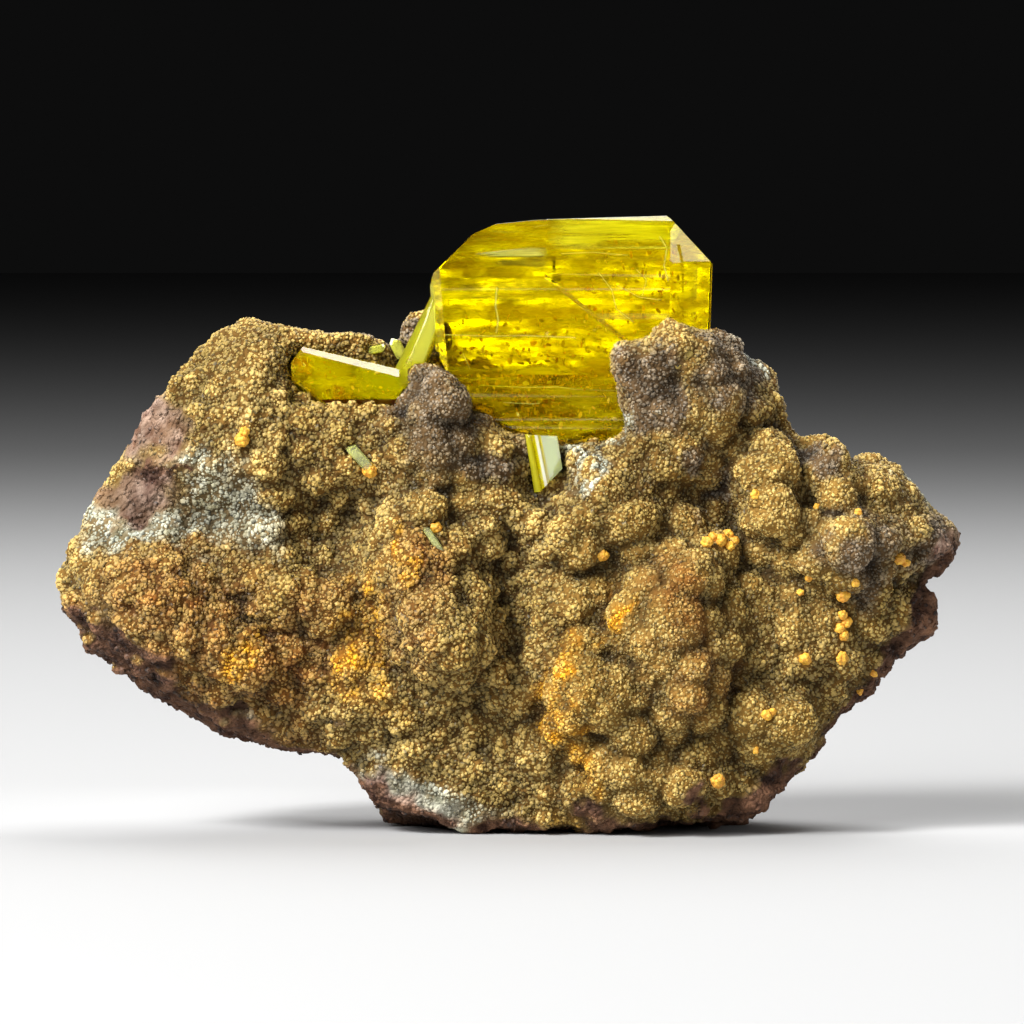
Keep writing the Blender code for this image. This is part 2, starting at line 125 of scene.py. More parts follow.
# A grain's shape, against the radius of its foot: its top's radius, its height, how far it is
# raised, its narrower width, and how far the middle of its top is drawn up.
GRAIN_SIDES = 5
GRAIN_TOP = 0.78
GRAIN_HEIGHT = 0.75
GRAIN_LIFT = 0.1
GRAIN_NARROW = 0.88
GRAIN_PEAK = 0.42
GRAIN_FACES = 4 * GRAIN_SIDES - 2  # triangles in one grain
STRIP_FACES = 190_000  # the most triangles in one strip of grains

CREASE_ROUNDS = 12  # rounds of smoothing against which creases are found
CREASE_DEPTH = 0.22

# Zones of the surface are ovals seen from the front: middle, half-widths and turn in degrees.
Oval = namedtuple("Oval", "x z wide tall turn", defaults=(0,))
RUST = (
    Oval(-24.5, 14.0, 7.0, 6.0), Oval(-17.0, 11.0, 6.0, 4.0), Oval(-6.5, 17.0, 2.6, 5.0),
    Oval(-12.0, 14.0, 4.0, 4.0), Oval(11.5, 14.5, 2.5, 5.0, 20),
)
OCHRE = (
    Oval(-10.2, 13.0, 1.9, 4.6), Oval(4.6, 5.6, 1.6, 4.6, 8), Oval(6.6, 15.4, 0.8, 2.0, -30),
    Oval(2.8, 11.5, 1.3, 3.6), Oval(-7.6, 19.5, 0.8, 2.4), Oval(-17.5, 13.0, 1.6, 1.4),
)
UMBER = (
    Oval(-5.0, 29.4, 2.9, 4.6, -15), Oval(9.4, 30.8, 2.2, 3.4, 10), Oval(13.0, 24.2, 1.0, 2.2, -25),
    Oval(24.0, 19.8, 2.6, 2.6), Oval(29.8, 20.2, 2.6, 2.4), Oval(-1.6, 26.2, 3.2, 1.4),
    Oval(15.5, 32.0, 3.0, 2.6), Oval(-8.0, 34.6, 2.6, 1.2), Oval(22.0, 25.5, 1.2, 1.4),
)
MAUVE = (
    Oval(-25.4, 28.4, 2.0, 3.4, 25), Oval(-26.6, 23.4, 3.6, 1.9, -8), Oval(-15.2, 5.9, 4.6, 0.9, -8),
    Oval(-5.6, 1.6, 5.6, 1.5, -22), Oval(30.6, 20.0, 1.2, 1.8),
)
FROST = (
    Oval(-23.4, 21.0, 5.6, 1.0, 6), Oval(-19.6, 22.3, 2.4, 3.0), Oval(-22.0, 25.2, 1.9, 1.1, 20),
    Oval(-28.6, 21.6, 1.6, 0.8), Oval(-19.8, 7.2, 2.6, 0.8, -12), Oval(-10.2, 4.2, 0.9, 1.6),
    Oval(-4.2, 2.5, 4.6, 1.0, -18), Oval(8.8, 28.0, 0.45, 1.9), Oval(6.4, 25.3, 2.6, 0.5, 25),
    Oval(17.4, 33.0, 1.2, 0.5, -40), Oval(28.4, 24.2, 1.6, 0.5, -45), Oval(29.4, 13.2, 1.3, 0.8),
    Oval(3.4, 25.4, 1.4, 0.5),
)
# Painted shade: these holes are painted with the broken stone's dark colours.
HOLE_SHADE = (
    Oval(-25.6, 24.6, 1.6, 0.9, -15), Oval(-23.2, 24.0, 1.3, 0.7, 20),
)
DOMED = (
    Oval(9.0, 12.0, 7.0, 12.5, -8), Oval(20.5, 21.0, 6.5, 6.5), Oval(12.5, 30.0, 5.0, 4.5),
    Oval(18.5, 7.5, 3.6, 3.0), Oval(-4.5, 28.0, 3.6, 5.2),
)
ZONES = {"rust": RUST, "ochre": OCHRE, "umber": UMBER, "mauve": MAUVE, "frost": FROST}
ZONE_EDGE = 0.35  # softness of a zone's edge as a share of its size
# Noise shifts the zones' edges: how far, over what size, and which part of the noise.
WANDERS = ((2.4, 4.0, 5.3), (1.2, 1.1, 1.7))
WANDER_SEED = 3  # with a seed, the noise is the same on every run

# The stone between the grains is painted darker than the grains, as painted shade between them, and warmer,
# by these shares.
DRUSE_GAP_SHADE = (0.36, 0.265, 0.165)
DOME_GAP_SHADE = (0.48, 0.38, 0.255)
DOME_GRAIN = 0.8  # how large grains are on domes against the rest
SOCKET_REACH = 1.2  # stone this close behind the cluster is painted bright golden, a painted glow seen through it
PROUD = 0.5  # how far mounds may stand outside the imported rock
# Stone that faces down and lies near the rock's lower outline, given as X and Z, is broken.
UNDER_FACING = -0.25
UNDER_REACH = 1.3
UNDERSIDE = (
    (-31.0, -19.5, -11.5, -9.5, -5.0, 14.0, 20.5, 26.0, 31.0),
    (16.0, 7.2, 5.0, 2.6, 0.3, 0.3, 3.8, 12.0, 20.0),
)
# How far broken stone reaches up from the lower outline on the right, given as X and height.
RIM = ((5.0, 9.0, 12.0, 17.0, 21.0, 24.0), (0.7, 1.2, 2.0, 1.9, 1.2, 0.7))
BASE_CLEAR = 0.45  # grains keep this far above the surface the rock stands on
# The broken back begins this deep, where the surface faces the front less than this.
BACK_DEPTH = 1.5
BACK_FACING = 0.25
MOUND_FACING = -0.25  # small mounds grow where the surface faces the front more than this

# Ochre balls on the druse, as (x, z, radius).
BALLS = (
    (13.4, 20.4, 0.42), (13.9, 20.7, 0.40), (14.4, 20.5, 0.45), (14.9, 20.8, 0.42), (15.3, 20.4, 0.38),
    (15.0, 20.1, 0.36), (20.2, 12.3, 0.46), (22.8, 12.3, 0.50), (22.9, 13.9, 0.38), (22.6, 14.4, 0.36),
    (23.1, 14.8, 0.42), (22.8, 15.3, 0.35), (22.8, 16.7, 0.50), (26.7, 19.2, 0.50), (27.2, 18.9, 0.36),
    (23.6, 17.6, 0.30), (16.7, 23.7, 0.36), (21.0, 22.7, 0.30), (23.8, 22.4, 0.30), (20.4, 17.9, 0.28),
    (19.9, 16.9, 0.26), (6.2, 19.5, 0.52), (17.5, 8.5, 0.42), (17.9, 8.7, 0.30), (14.2, 3.9, 0.52),
    (16.8, 6.0, 0.26), (25.1, 11.1, 0.28), (24.2, 9.8, 0.26), (-18.6, 27.4, 0.50), (-18.4, 28.0, 0.34),
    (-9.8, 25.3, 0.55), (-5.2, 21.4, 0.40),
)
BALL_PROUD = 0.35  # how far a ball's middle stands out, as a share of its radius

# The stone's two tones in each zone, laid over each other in this order: which noise mixes them,
# the tones, and which noise thins the zone out, down to what least share.
Stone = namedtuple("Stone", "zone pattern first second thinned least", defaults=(None, 1.0))
KHAKI = ((0.37, 0.25, 0.062), (0.53, 0.37, 0.11))
STAIN = (0.27, 0.16, 0.07)  # patches of this lie on the mauve stone
STONES = (
    Stone("rust", "wide", (0.41, 0.185, 0.036), (0.36, 0.21, 0.055), "fine", 0.35),
    Stone("ochre", "fine", (0.62, 0.36, 0.045), (0.85, 0.42, 0.015), "fine", 0.3),
    Stone("umber", "fine", (0.15, 0.11, 0.07), (0.27, 0.21, 0.145), "wide", 0.85),
    Stone("mauve", "fine", (0.12, 0.055, 0.04), (0.44, 0.31, 0.24)),
    Stone("frost", "fine", (0.34, 0.35, 0.25), (0.72, 0.74, 0.60), "wide", 0.6),
    Stone("broken", "fine", (0.045, 0.02, 0.012), (0.20, 0.10, 0.055)),
)
# Painted glow: the bright golden colour of the stone seen through the crystal cluster.
PAINTED_SOCKET_GLOW = (0.95, 0.66, 0.08)
CREASE_SHADE = (1.4, 0.16)  # painted light and shade: how bright the stone is painted on a mound's top and at its foot
GRAIN_TONES = (0.66, 1.12)  # the darkest and the brightest grain
GRAIN_SHADE = (0.25, 1.1)  # painted shade: how bright a grain is painted at its foot and at its top

# Growth ridges run along the crystals. Each is a shallow step, made by cuts at uneven heights.
RIDGE_STEP = (0.10, 0.42)
RIDGE_DEPTH = 0.007
LENGTHWISE = 0.42  # a face that turns less than this towards X lies along its crystal
FLAT_TOP = 0.9  # a face that turns more than this upwards is a top
LATH_EDGE = -8.6  # the slanting lath and bridge of the cluster lie left of this
LATH_SLOPE = (0.228, 0, 0.974)
LATH_RISE = 0.23  # how far a ridge on them falls for each step along X
CRYSTAL_BEVEL = 0.05

# Healed cracks are thin sheets inside the crystals: depth (Y), low and high corner (X, Z), tilt in
# degrees, how much of the sheet shows, how far its streaks are drawn out along X, and its colour.
# The dark olive sheets are painted shade where the crystal shows dark bands, and the pale sheet
# along the big crystal's bevel is a painted highlight.
HEALED = (0.97, 0.90, 0.18)
LIME = (0.93, 0.96, 0.42)
BEVEL_HIGHLIGHT = (0.98, 0.97, 0.75)
SHADE_OLIVE = (0.22, 0.16, 0.0)
AMBER = (0.85, 0.42, 0.02)
GOLD = (1.0, 0.90, 0.12)
WHOLE = (HEALED, GOLD)  # sheets of these colours run right through their crystal
Veil = namedtuple("Veil", "depth low high tilt cover stretch tint", defaults=(HEALED,))
VEILS = (
    Veil(-4.9, (-7.0, 31.8), (15.0, 43.0), (1.0, 2.0), 0.30, 9.0),
    Veil(-3.3, (-7.0, 31.8), (15.0, 43.0), (-3.0, -1.0), 0.38, 5.0),
    Veil(-0.4, (-7.0, 31.0), (15.0, 43.0), (4.0, 3.0), 0.5, 3.0),
    Veil(2.0, (-7.0, 31.0), (15.0, 43.0), (-2.0, 0.0), 0.75, 2.0),
    Veil(-3.9, (-7.0, 26.0), (10.0, 31.6), (2.0, 1.0), 0.5, 3.0, GOLD),
    Veil(-1.9, (-7.0, 26.0), (10.0, 31.0), (-6.0, 0.0), 0.6, 1.6, GOLD),
    Veil(0.8, (-7.0, 26.0), (10.0, 31.0), (3.0, 0.0), 0.8, 1.4, GOLD),
    Veil(-4.6, (-17.5, 26.0), (-6.0, 35.5), (2.0, 12.0), 0.45, 2.2, GOLD),
    Veil(-3.6, (-18.5, 26.0), (-5.0, 36.0), (-2.0, 12.0), 1.2, 1.6, GOLD),
    Veil(-4.4, (-17.0, 28.0), (-13.4, 34.5), (0.0, 12.0), 0.7, 1.2, AMBER),
    Veil(-4.9, (-12.6, 29.4), (-10.8, 32.4), (0.0, 40.0), 0.4, 1.4, AMBER),
    Veil(-4.0, (-11.2, 29.4), (-4.4, 39.4), (0.0, 60.0), 1.6, 1.8, LIME),
    Veil(-5.1, (2.0, 39.2), (12.6, 43.2), (-38.5, 1.0), 0.7, 7.0, (0.97, 0.93, 0.10)),
    # Painted highlight: a pale sheet along the big crystal's bevel.
    Veil(-4.75, (-2.8, 39.95), (2.8, 40.6), (0.0, 2.0), 0.7, 12.0, BEVEL_HIGHLIGHT),
    # Painted shade: dark olive sheets where the crystal shows dark bands.
    Veil(-4.9, (-4.4, 36.6), (3.4, 38.8), (0.0, 1.0), 0.4, 9.0, SHADE_OLIVE),
    Veil(-4.9, (-1.6, 38.9), (3.0, 40.2), (0.0, 1.0), 0.6, 8.0, SHADE_OLIVE),
    Veil(-5.3, (2.8, 38.3), (9.8, 40.1), (0.0, 1.0), 0.3, 9.0, SHADE_OLIVE),
    Veil(-4.9, (-5.6, 31.6), (-1.0, 34.8), (0.0, 1.0), 0.4, 3.0, SHADE_OLIVE),
)

# Open cracks are bright hairlines just under a face: depth, width and the corners they pass.
Crack = namedtuple("Crack", "depth width corners")
CRACKS = (
    Crack(-5.0, 0.10, ((-1.05, 37.9), (-1.15, 36.6), (-0.95, 35.6), (-1.1, 34.7))),
    # This bar is a bright line just under the top edge of the lower block.
    Crack(-4.55, 0.07, ((-2.2, 31.1), (0.8, 30.95), (3.2, 30.98), (4.4, 30.8), (7.4, 30.7))),
    Crack(-4.55, 0.05, ((-0.6, 29.9), (1.4, 29.8), (1.9, 29.85))),
    Crack(-5.05, 0.06, ((-4.6, 34.6), (-1.5, 34.5), (0.8, 34.55), (4.4, 34.4))),
    Crack(-5.0, 0.05, ((-3.4, 33.3), (-2.9, 32.2))),
    Crack(-5.5, 0.08, ((10.2, 41.4), (10.7, 40.6), (10.5, 39.4), (10.8, 38.3))),
    Crack(-5.5, 0.06, ((6.0, 38.9), (6.9, 37.7), (7.2, 36.4), (8.4, 35.5))),
    Crack(-5.5, 0.05, ((7.3, 38.0), (8.8, 37.2), (10.3, 37.0))),
    Crack(-5.5, 0.05, ((8.6, 39.1), (9.3, 38.4), (9.0, 37.3))),
    Crack(-5.4, 0.05, ((3.4, 40.2), (5.5, 40.3), (8.0, 40.1))),
)
CORE_SHARE = 0.72  # the cloudy middle of a small crystal against its whole size
VEIL_THICKNESS = 0.03
VEIL_MARGIN = 0.12  # veils stay this far below the faces
VEIL_STREAKS = 700.0  # how fine a veil's streaks are

# Golden flakes fill the lower block and lie more thinly in the others:
# low and high corner, how many, smallest and largest radius, seed.
Flakes = namedtuple("Flakes", "low high count small large seed")
FLAKES = (
    Flakes((-4.5, -5.0, 27.3), (8.3, 3.0, 31.8), 1300, 0.05, 0.22, 1),
    Flakes((-6.0, -5.6, 31.5), (6.5, 3.4, 36.0), 320, 0.05, 0.24, 2),
    Flakes((5.0, -5.2, 34.5), (13.8, 3.2, 42.5), 260, 0.05, 0.22, 3),
    Flakes((-15.3, -5.6, 29.2), (-8.4, -3.0, 33.5), 220, 0.04, 0.16, 4),
)
# The small prism's bands: its yellow, painted lighter and darker face by face as painted light and shade,
# with a painted highlight along one edge. Where each colour lies across it, by X + PRISM_LEAN * Z.
PRISM_LEAN = 0.2
SHADED_BAND = (0.40, 0.32, 0.0)
LIT_BAND = (0.80, 0.92, 0.44)
PRISM_SHADING_BANDS = (
    (6.2, (0.70, 0.60, 0.0)), (6.55, (0.95, 0.88, 0.05)), (6.85, SHADED_BAND), (7.06, (0.85, 0.76, 0.0)),
    (7.12, (1.0, 1.0, 0.85)), (7.26, (1.0, 1.0, 0.85)), (7.34, SHADED_BAND), (7.50, (0.78, 0.70, 0.0)),
    (7.58, LIT_BAND), (8.52, LIT_BAND), (8.64, (0.66, 0.60, 0.05)),
)

ROCK_SLOT = "limonite"
CRYSTAL_SLOT = "legrandite"
# The small crystals' looks: the tint that deepens inside them and how strongly, how clear they are,
# their own colour and the colour of their cloudy core.
Look = namedtuple("Look", "tint density clear body core")
LOOKS = {
    "banded": Look((0.985, 0.985, 0.3), 600.0, 0.6, (1, 1, 1), (1, 1, 1)),
    "lime": Look((0.985, 0.985, 0.2), 900.0, 0.8, (0.92, 0.92, 0.20), (0.95, 0.94, 0.40)),
    "pale": Look((0.985, 0.985, 0.3), 900.0, 0.8, (0.90, 0.92, 0.40), (0.93, 0.95, 0.66)),
    "amber": Look((0.95, 0.88, 0.15), 1200.0, 0.5, (0.52, 0.38, 0.11), (0.58, 0.42, 0.13)),
}
# Each small crystal's slot and look.
SMALL_CRYSTALS = {
    "lower_prism": (CRYSTAL_SLOT, "banded"),
    "bud_crystal": (CRYSTAL_SLOT, "lime"),
    "bud_crystal_small": (CRYSTAL_SLOT, "lime"),
    "pale_lath": ("pale_legrandite", "pale"),
    "sliver_crystal": ("pale_legrandite", "pale"),
    "amber_lath": ("amber_legrandite", "amber"),
}

# The lights are soft boxes, placed in metres: place, what it aims at, width and height, power.
Light = namedtuple("Light", "name place aim size power")
MIDDLE = (0, 0, 0.022)
CRYSTALS = (0.004, 0, 0.038)
LIGHTS = (
    Light("key", (-0.40, -0.32, 0.48), MIDDLE, (0.18, 0.18), 6.2),
    Light("broad key", (-0.38, -0.42, 0.44), MIDDLE, (0.5, 0.5), 5.6),
    Light("fill", (0.45, -0.55, 0.15), MIDDLE, (0.5, 0.4), 0.15),
    Light("top", (0.15, 0.12, 0.50), MIDDLE, (0.22, 0.22), 1.1),
    Light("back top", (0.0, 0.30, 0.40), CRYSTALS, (0.5, 0.25), 1.2),
    Light("prism light", (0.44, -0.415, 0.073), (0.0025, -0.006, 0.026), (0.1, 0.1), 0.1),
    Light("card", (0.004, 0.032, 0.040), CRYSTALS, (0.060, 0.030), 0.016),
    Light("right", (0.50, 0.12, 0.137), (0.0, 0.0, 0.097), (0.25, 0.2), 0.36),
)


def deselect():
    if bpy.context.mode != "OBJECT":
        bpy.ops.object.mode_set(mode="OBJECT")
    bpy.ops.object.select_all(action="DESELECT")


def active():
    return bpy.context.view_layer.objects.active


def applied():
    """The new object, once its place, turn and size are applied to its mesh."""
    bpy.ops.object.transform_apply(location=True, rotation=True, scale=True)
    return active()


def pick(piece):
    """piece is the only selected object, and the active one."""
    deselect()
    piece.select_set(True)
    bpy.context.view_layer.objects.active = piece


def copy_of(source, name):
    """A copy with its own mesh and no parent."""
    piece = source.copy()
    piece.data = source.data.copy()
    piece.name = name
    piece.data.name = name
    piece.parent = None
    for key in list(piece.keys()):
        del piece[key]
    bpy.context.scene.collection.objects.link(piece)
    return piece


def merged_copy(node, name):
    """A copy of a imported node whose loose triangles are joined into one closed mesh."""
    piece = copy_of(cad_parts[node], name)
    pick(piece)
    bpy.ops.object.mode_set(mode="EDIT")
    bpy.ops.mesh.select_all(action="SELECT")
    bpy.ops.mesh.remove_doubles(threshold=1e-6)
    bpy.ops.mesh.customdata_custom_splitnormals_clear()
    bpy.ops.object.mode_set(mode="OBJECT")
    piece.data.materials.clear()
    return piece


def join(pieces, name):
    pick(pieces[0])
    for piece in pieces[1:]:
        piece.select_set(True)
    if len(pieces) > 1:
        bpy.ops.object.join()
    made = active()
    made.name = name
    made.data.name = name
    return made


def apply_modifier(piece, kind, **settings):
    pick(piece)
    modifier = piece.modifiers.new(kind, kind)
    for name, value in settings.items():
        setattr(modifier, name, value)
    bpy.ops.object.modifier_apply(modifier=modifier.name)


def apply_tree(piece, tree):
    pick(piece)
    modifier = piece.modifiers.new(tree.name, "NODES")
    modifier.node_group = tree
    bpy.ops.object.modifier_apply(modifier=modifier.name)


def add(tree, kind, inputs=None, **settings):
    """A node with these settings, whose inputs are set to values or linked to sockets."""
    node = tree.nodes.new(kind)
    for name, value in settings.items():
        setattr(node, name, value)
    for key, value in (inputs or {}).items():
        if isinstance(value, bpy.types.NodeSocket):
            tree.links.new(value, node.inputs[key])
        else:
            node.inputs[key].default_value = value
    return node


def geometry_tree(name, build):
    """A node group that passes its geometry through build(tree, geometry)."""
    tree = bpy.data.node_groups.new(name, "GeometryNodeTree")
    tree.interface.new_socket("Geometry", in_out="INPUT", socket_type="NodeSocketGeometry")
    tree.interface.new_socket("Geometry", in_out="OUTPUT", socket_type="NodeSocketGeometry")
    start = add(tree, "NodeGroupInput")
    end = add(tree, "NodeGroupOutput")
    tree.links.new(build(tree, start.outputs[0]), end.inputs[0])
    return tree


def attribute(tree, name, kind="FLOAT"):
    return add(tree, "GeometryNodeInputNamedAttribute", {"Name": name}, data_type=kind).outputs[0]


def random_value(tree, low, high, seed):
    return add(tree, "FunctionNodeRandomValue", {2: low, 3: high, "Seed": seed}, data_type="FLOAT").outputs[1]


def random_vector(tree, low, high, seed):
    inputs = {0: low, 1: high, "Seed": seed}
    return add(tree, "FunctionNodeRandomValue", inputs, data_type="FLOAT_VECTOR").outputs[0]


def math_node(tree, operation, first, second):
    return add(tree, "ShaderNodeMath", {0: first, 1: second}, operation=operation).outputs[0]


def vector_math(tree, operation, first, second):
    key = "Scale" if operation == "SCALE" else 1
    return add(tree, "ShaderNodeVectorMath", {0: first, key: second}, operation=operation).outputs[0]


def compare(tree, operation, first, second):
    inputs = {0: first, 1: second}
    return add(tree, "FunctionNodeCompare", inputs, data_type="FLOAT", operation=operation).outputs[0]


def map_range(tree, value, low, high, start=0.0, end=1.0, **settings):
    """The value, spread so that start becomes low and end becomes high, and held between them."""
    inputs = {0: value, 1: start, 2: end, 3: low, 4: high}
    return add(tree, "ShaderNodeMapRange", inputs, **settings).outputs[0]


def move_out(tree, geometry, distance, normal=None):
    """Moves a surface, or points that have normals of their own, outwards by a distance."""
    if normal is None:
        normal = add(tree, "GeometryNodeInputNormal").outputs[0]
    offset = vector_math(tree, "SCALE", normal, distance)
    return add(tree, "GeometryNodeSetPosition", {"Geometry": geometry, "Offset": offset}).outputs[0]


def model_of(tree, piece, **settings):
    return add(tree, "GeometryNodeObjectInfo", {"Object": piece}, **settings).outputs["Geometry"]


def copies_on(tree, points, model, inputs):
    """A copy of the model on each point, as real mesh."""
    placed = add(tree, "GeometryNodeInstanceOnPoints", {"Points": points, "Instance": model, **inputs})
    return add(tree, "GeometryNodeRealizeInstances", {0: placed.outputs[0]}).outputs[0]


def stored(tree, points, name, value, kind="FLOAT"):
    """The points, with a value stored on each."""
    inputs = {"Geometry": points, "Name": name, "Value": value}
    made = add(tree, "GeometryNodeStoreNamedAttribute", inputs, data_type=kind, domain="POINT")
    return made.outputs[0]


def relief(tree, kind, look, level, **inputs):
    """A height for each point from a texture of this kind, 0 where the texture is at this level."""
    fineness, height = look
    texture = add(tree, kind, {"Scale": fineness, **inputs})
    return math_node(tree, "MULTIPLY", math_node(tree, "SUBTRACT", texture.outputs[0], level), height * MM)


def points_of(mesh):
    found = np.empty(len(mesh.vertices) * 3, np.float32)
    mesh.vertices.foreach_get("co", found)
    return found.reshape(-1, 3)


def normals_of(mesh):
    found = np.empty(len(mesh.vertices) * 3, np.float32)
    mesh.vertex_normals.foreach_get("vector", found)
    return found.reshape(-1, 3)


def set_points(mesh, points):
    mesh.vertices.foreach_set("co", points.astype(np.float32).ravel())
    mesh.update()


def store(mesh, name, values):
    if name in mesh.attributes:
        mesh.attributes.remove(mesh.attributes[name])
    mesh.attributes.new(name, "FLOAT", "POINT").data.foreach_set("value", np.asarray(values, np.float32))


def smooth(edge, value):
    """0 below -edge, 1 above edge, with an even curve between."""
    share = np.clip(value / edge * 0.5 + 0.5, 0, 1)
    return share * share * (3 - 2 * share)


def wander(points, size, seed):
    """A smooth random shift for each point, in about -1 to 1 each way, the same on every run."""
    noise.seed_set(WANDER_SEED)
    shift = Vector((seed, -seed, 2 * seed))
    return np.array([tuple(noise.noise_vector(Vector(p) / size + shift)) for p in points])


def inside_ovals(points, ovals):
    """How far each point lies in the nearest of these ovals, from 0 outside to 1."""
    found = np.zeros(len(points))
    for oval in ovals:
        turn = math.radians(oval.turn)
        dx, dz = points[:, 0] - oval.x, points[:, 2] - oval.z
        along = (dx * math.cos(turn) + dz * math.sin(turn)) / oval.wide
        across = (dz * math.cos(turn) - dx * math.sin(turn)) / oval.tall
        found = np.maximum(found, smooth(ZONE_EDGE, 1 - np.hypot(along, across)))
    return found


def surface_of(piece):
    """The piece's surface, for rays and nearest points."""
    return BVHTree.FromObject(piece, bpy.context.evaluated_depsgraph_get())


def rock_front(rock):
    """A function that gives the front surface's point at (x, z), or None."""
    surface = surface_of(rock)

    def front(x, z):
        return surface.ray_cast(Vector((x, -50, z)) * MM, Vector((0, 1, 0)))[0]

    return front


def ball_behind(place, depth, radius, subdivisions, scale, turn=(0, 0, 0)):
    """A ball whose middle lies this deep behind a place on the front."""
    deselect()
    bpy.ops.mesh.primitive_ico_sphere_add(
        subdivisions=subdivisions,
        radius=radius * MM,
        location=place + Vector((0, depth * MM, 0)),
        rotation=turn,
        scale=scale,
    )
    return applied()


def make_mounds(front, mounds, depth):
    """Balls half buried in the front, at this share of their radius below it."""
    made = []
    for mound in mounds:
        place = front(mound.x, mound.z)
        if place is not None:
            sunk = depth * FLATTENED * mound.radius
            made.append(ball_behind(place, sunk, mound.radius, 3, (1, FLATTENED, mound.tall)))
    return made


def scatter_tree(scatter):
    """Adds small half-buried balls to the druse-coated faces."""
    def build(tree, rock):
        spacing = scatter.spacing * MM
        spread = add(tree, "GeometryNodeDistributePointsOnFaces", {
            "Mesh": rock, "Distance Min": spacing, "Density Max": 2.0 / spacing ** 2,
            "Density Factor": attribute(tree, scatter.where), "Seed": scatter.seed,
        }, distribute_method="POISSON")
        radius = random_value(tree, scatter.low * MM, scatter.high * MM, scatter.seed)
        depth = math_node(tree, "MULTIPLY", radius, -scatter.buried * FLATTENED)
        sunk = move_out(tree, spread.outputs["Points"], depth, spread.outputs["Normal"])
        ball = add(tree, "GeometryNodeMeshIcoSphere", {"Radius": 1.0, "Subdivisions": 2})
        balls = copies_on(tree, sunk, ball.outputs[0], {
            "Scale": vector_math(tree, "SCALE", (1.0, 1.0, FLATTENED), radius),
            "Rotation": spread.outputs["Rotation"],
        })
        both = add(tree, "GeometryNodeJoinGeometry")
        tree.links.new(rock, both.inputs[0])
        tree.links.new(balls, both.inputs[0])
        return both.outputs[0]

    return geometry_tree("small mounds", build)


def mark_relief(rock):
    """Marks where the druse-coated front is domed and where it is granular."""
    points = points_of(rock.data) / MM
    facing = -normals_of(rock.data)[:, 1]
    bare = np.maximum(inside_ovals(points, MAUVE), inside_ovals(points, FROST))
    druse = smooth(0.25, facing - MOUND_FACING) * (1 - bare)
    domed = inside_ovals(points, DOMED)
    left, top = SMOOTH_CORNER
    rim = smooth(0.8, points[:, 2] - top) * smooth(1.0, left - points[:, 0])
    druse = druse * (1 - rim)
    store(rock.data, "domed", druse * domed)
    store(rock.data, "granular", druse * (1 - domed))


def creases(mesh):
    """How deep each point lies in a crease, from -1 on a mound's top to 1 at its foot."""
    points = points_of(mesh) / MM
    ends = np.empty(len(mesh.edges) * 2, np.int32)
    mesh.edges.foreach_get("vertices", ends)
    first, second = ends.reshape(-1, 2).T
    count = np.bincount(ends, minlength=len(points))[:, None]
    level = points
    for _ in range(CREASE_ROUNDS):
        total = [
            np.bincount(first, level[second, axis], len(points))
            + np.bincount(second, level[first, axis], len(points))
            for axis in range(3)
        ]
        level = np.stack(total, 1) / count
    return np.clip(((level - points) * normals_of(mesh)).sum(1) / CREASE_DEPTH, -1, 1)


def mark_zones(rock):
    """Marks the colour zones, the druse and the broken stone on each point of the finished surface."""
    points = points_of(rock.data) / MM
    facing = -normals_of(rock.data)[:, 1]
    facing_up = normals_of(rock.data)[:, 2]
    shifted = points
    for far, size, seed in WANDERS:
        shifted = shifted + far * wander(points, size, seed)
    zones = {name: inside_ovals(shifted, ovals) for name, ovals in ZONES.items()}
    behind = smooth(2.0, shifted[:, 1] - BACK_DEPTH) * smooth(0.3, BACK_FACING - facing)
    low = shifted[:, 2] - np.interp(points[:, 0], *UNDERSIDE)
    under = smooth(0.2, UNDER_FACING - facing_up) * smooth(0.7, UNDER_REACH - low)
    zones["mauve"] = np.maximum(zones["mauve"], behind)
    rim = smooth(0.4, np.interp(points[:, 0], *RIM) - low) * (points[:, 0] > RIM[0][0])
    # Broken stone, and holes painted dark with its colours as painted shade.
    zones["broken"] = np.maximum.reduce([under, rim, inside_ovals(shifted, HOLE_SHADE)])
    zones["frost"] = zones["frost"] * (1 - behind) * (1 - zones["broken"])
    for name, values in zones.items():
        store(rock.data, name, values)
    store(rock.data, "domes", inside_ovals(shifted, DOMED))
    # The crease depth, which sets the painted light on mound tops and the painted shade in creases.
    store(rock.data, "crease", creases(rock.data))
    # Where the stone behind the crystal cluster gets its painted golden glow.
    store(rock.data, "socket", behind_crystal(points))
    cover = 1 - (1 - BROKEN_GRAINS) * np.maximum(zones["mauve"], zones["broken"])
    on_base = points[:, 2] < BASE_CLEAR
    store(rock.data, "druse", cover * (1 - behind) * (1 - on_base))


def behind_crystal(points):
    """1 where a point is seen through the crystal cluster, which lies close in front of it, else 0."""
    guide = copy_of(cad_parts[CLUSTER], "guide")
    surface = surface_of(guide)
    ahead, reach = Vector((0, -1, 0)), SOCKET_REACH * MM
    found = [surface.ray_cast(Vector(point) * MM, ahead, reach)[0] is not None for point in points]
    bpy.data.objects.remove(guide)
    return found


def roughen_tree():
    """Breaks up the stone: pitted and uneven all over, and ragged where it is mauve or broken."""
    def build(tree, rock):
        bare = math_node(tree, "MAXIMUM", attribute(tree, "mauve"), attribute(tree, "broken"))
        ragged = relief(tree, "ShaderNodeTexNoise", RAGGED, 0.5, Detail=6.0, Roughness=0.65)
        ragged = math_node(tree, "MULTIPLY", ragged, bare)
        pits = relief(tree, "ShaderNodeTexVoronoi", PITTED, 0.4)
        swell = relief(tree, "ShaderNodeTexNoise", UNEVEN, 0.5, Detail=3.0)
        lift = math_node(tree, "ADD", math_node(tree, "ADD", ragged, pits), swell)
        return move_out(tree, rock, lift)

    return geometry_tree("ragged stone", build)


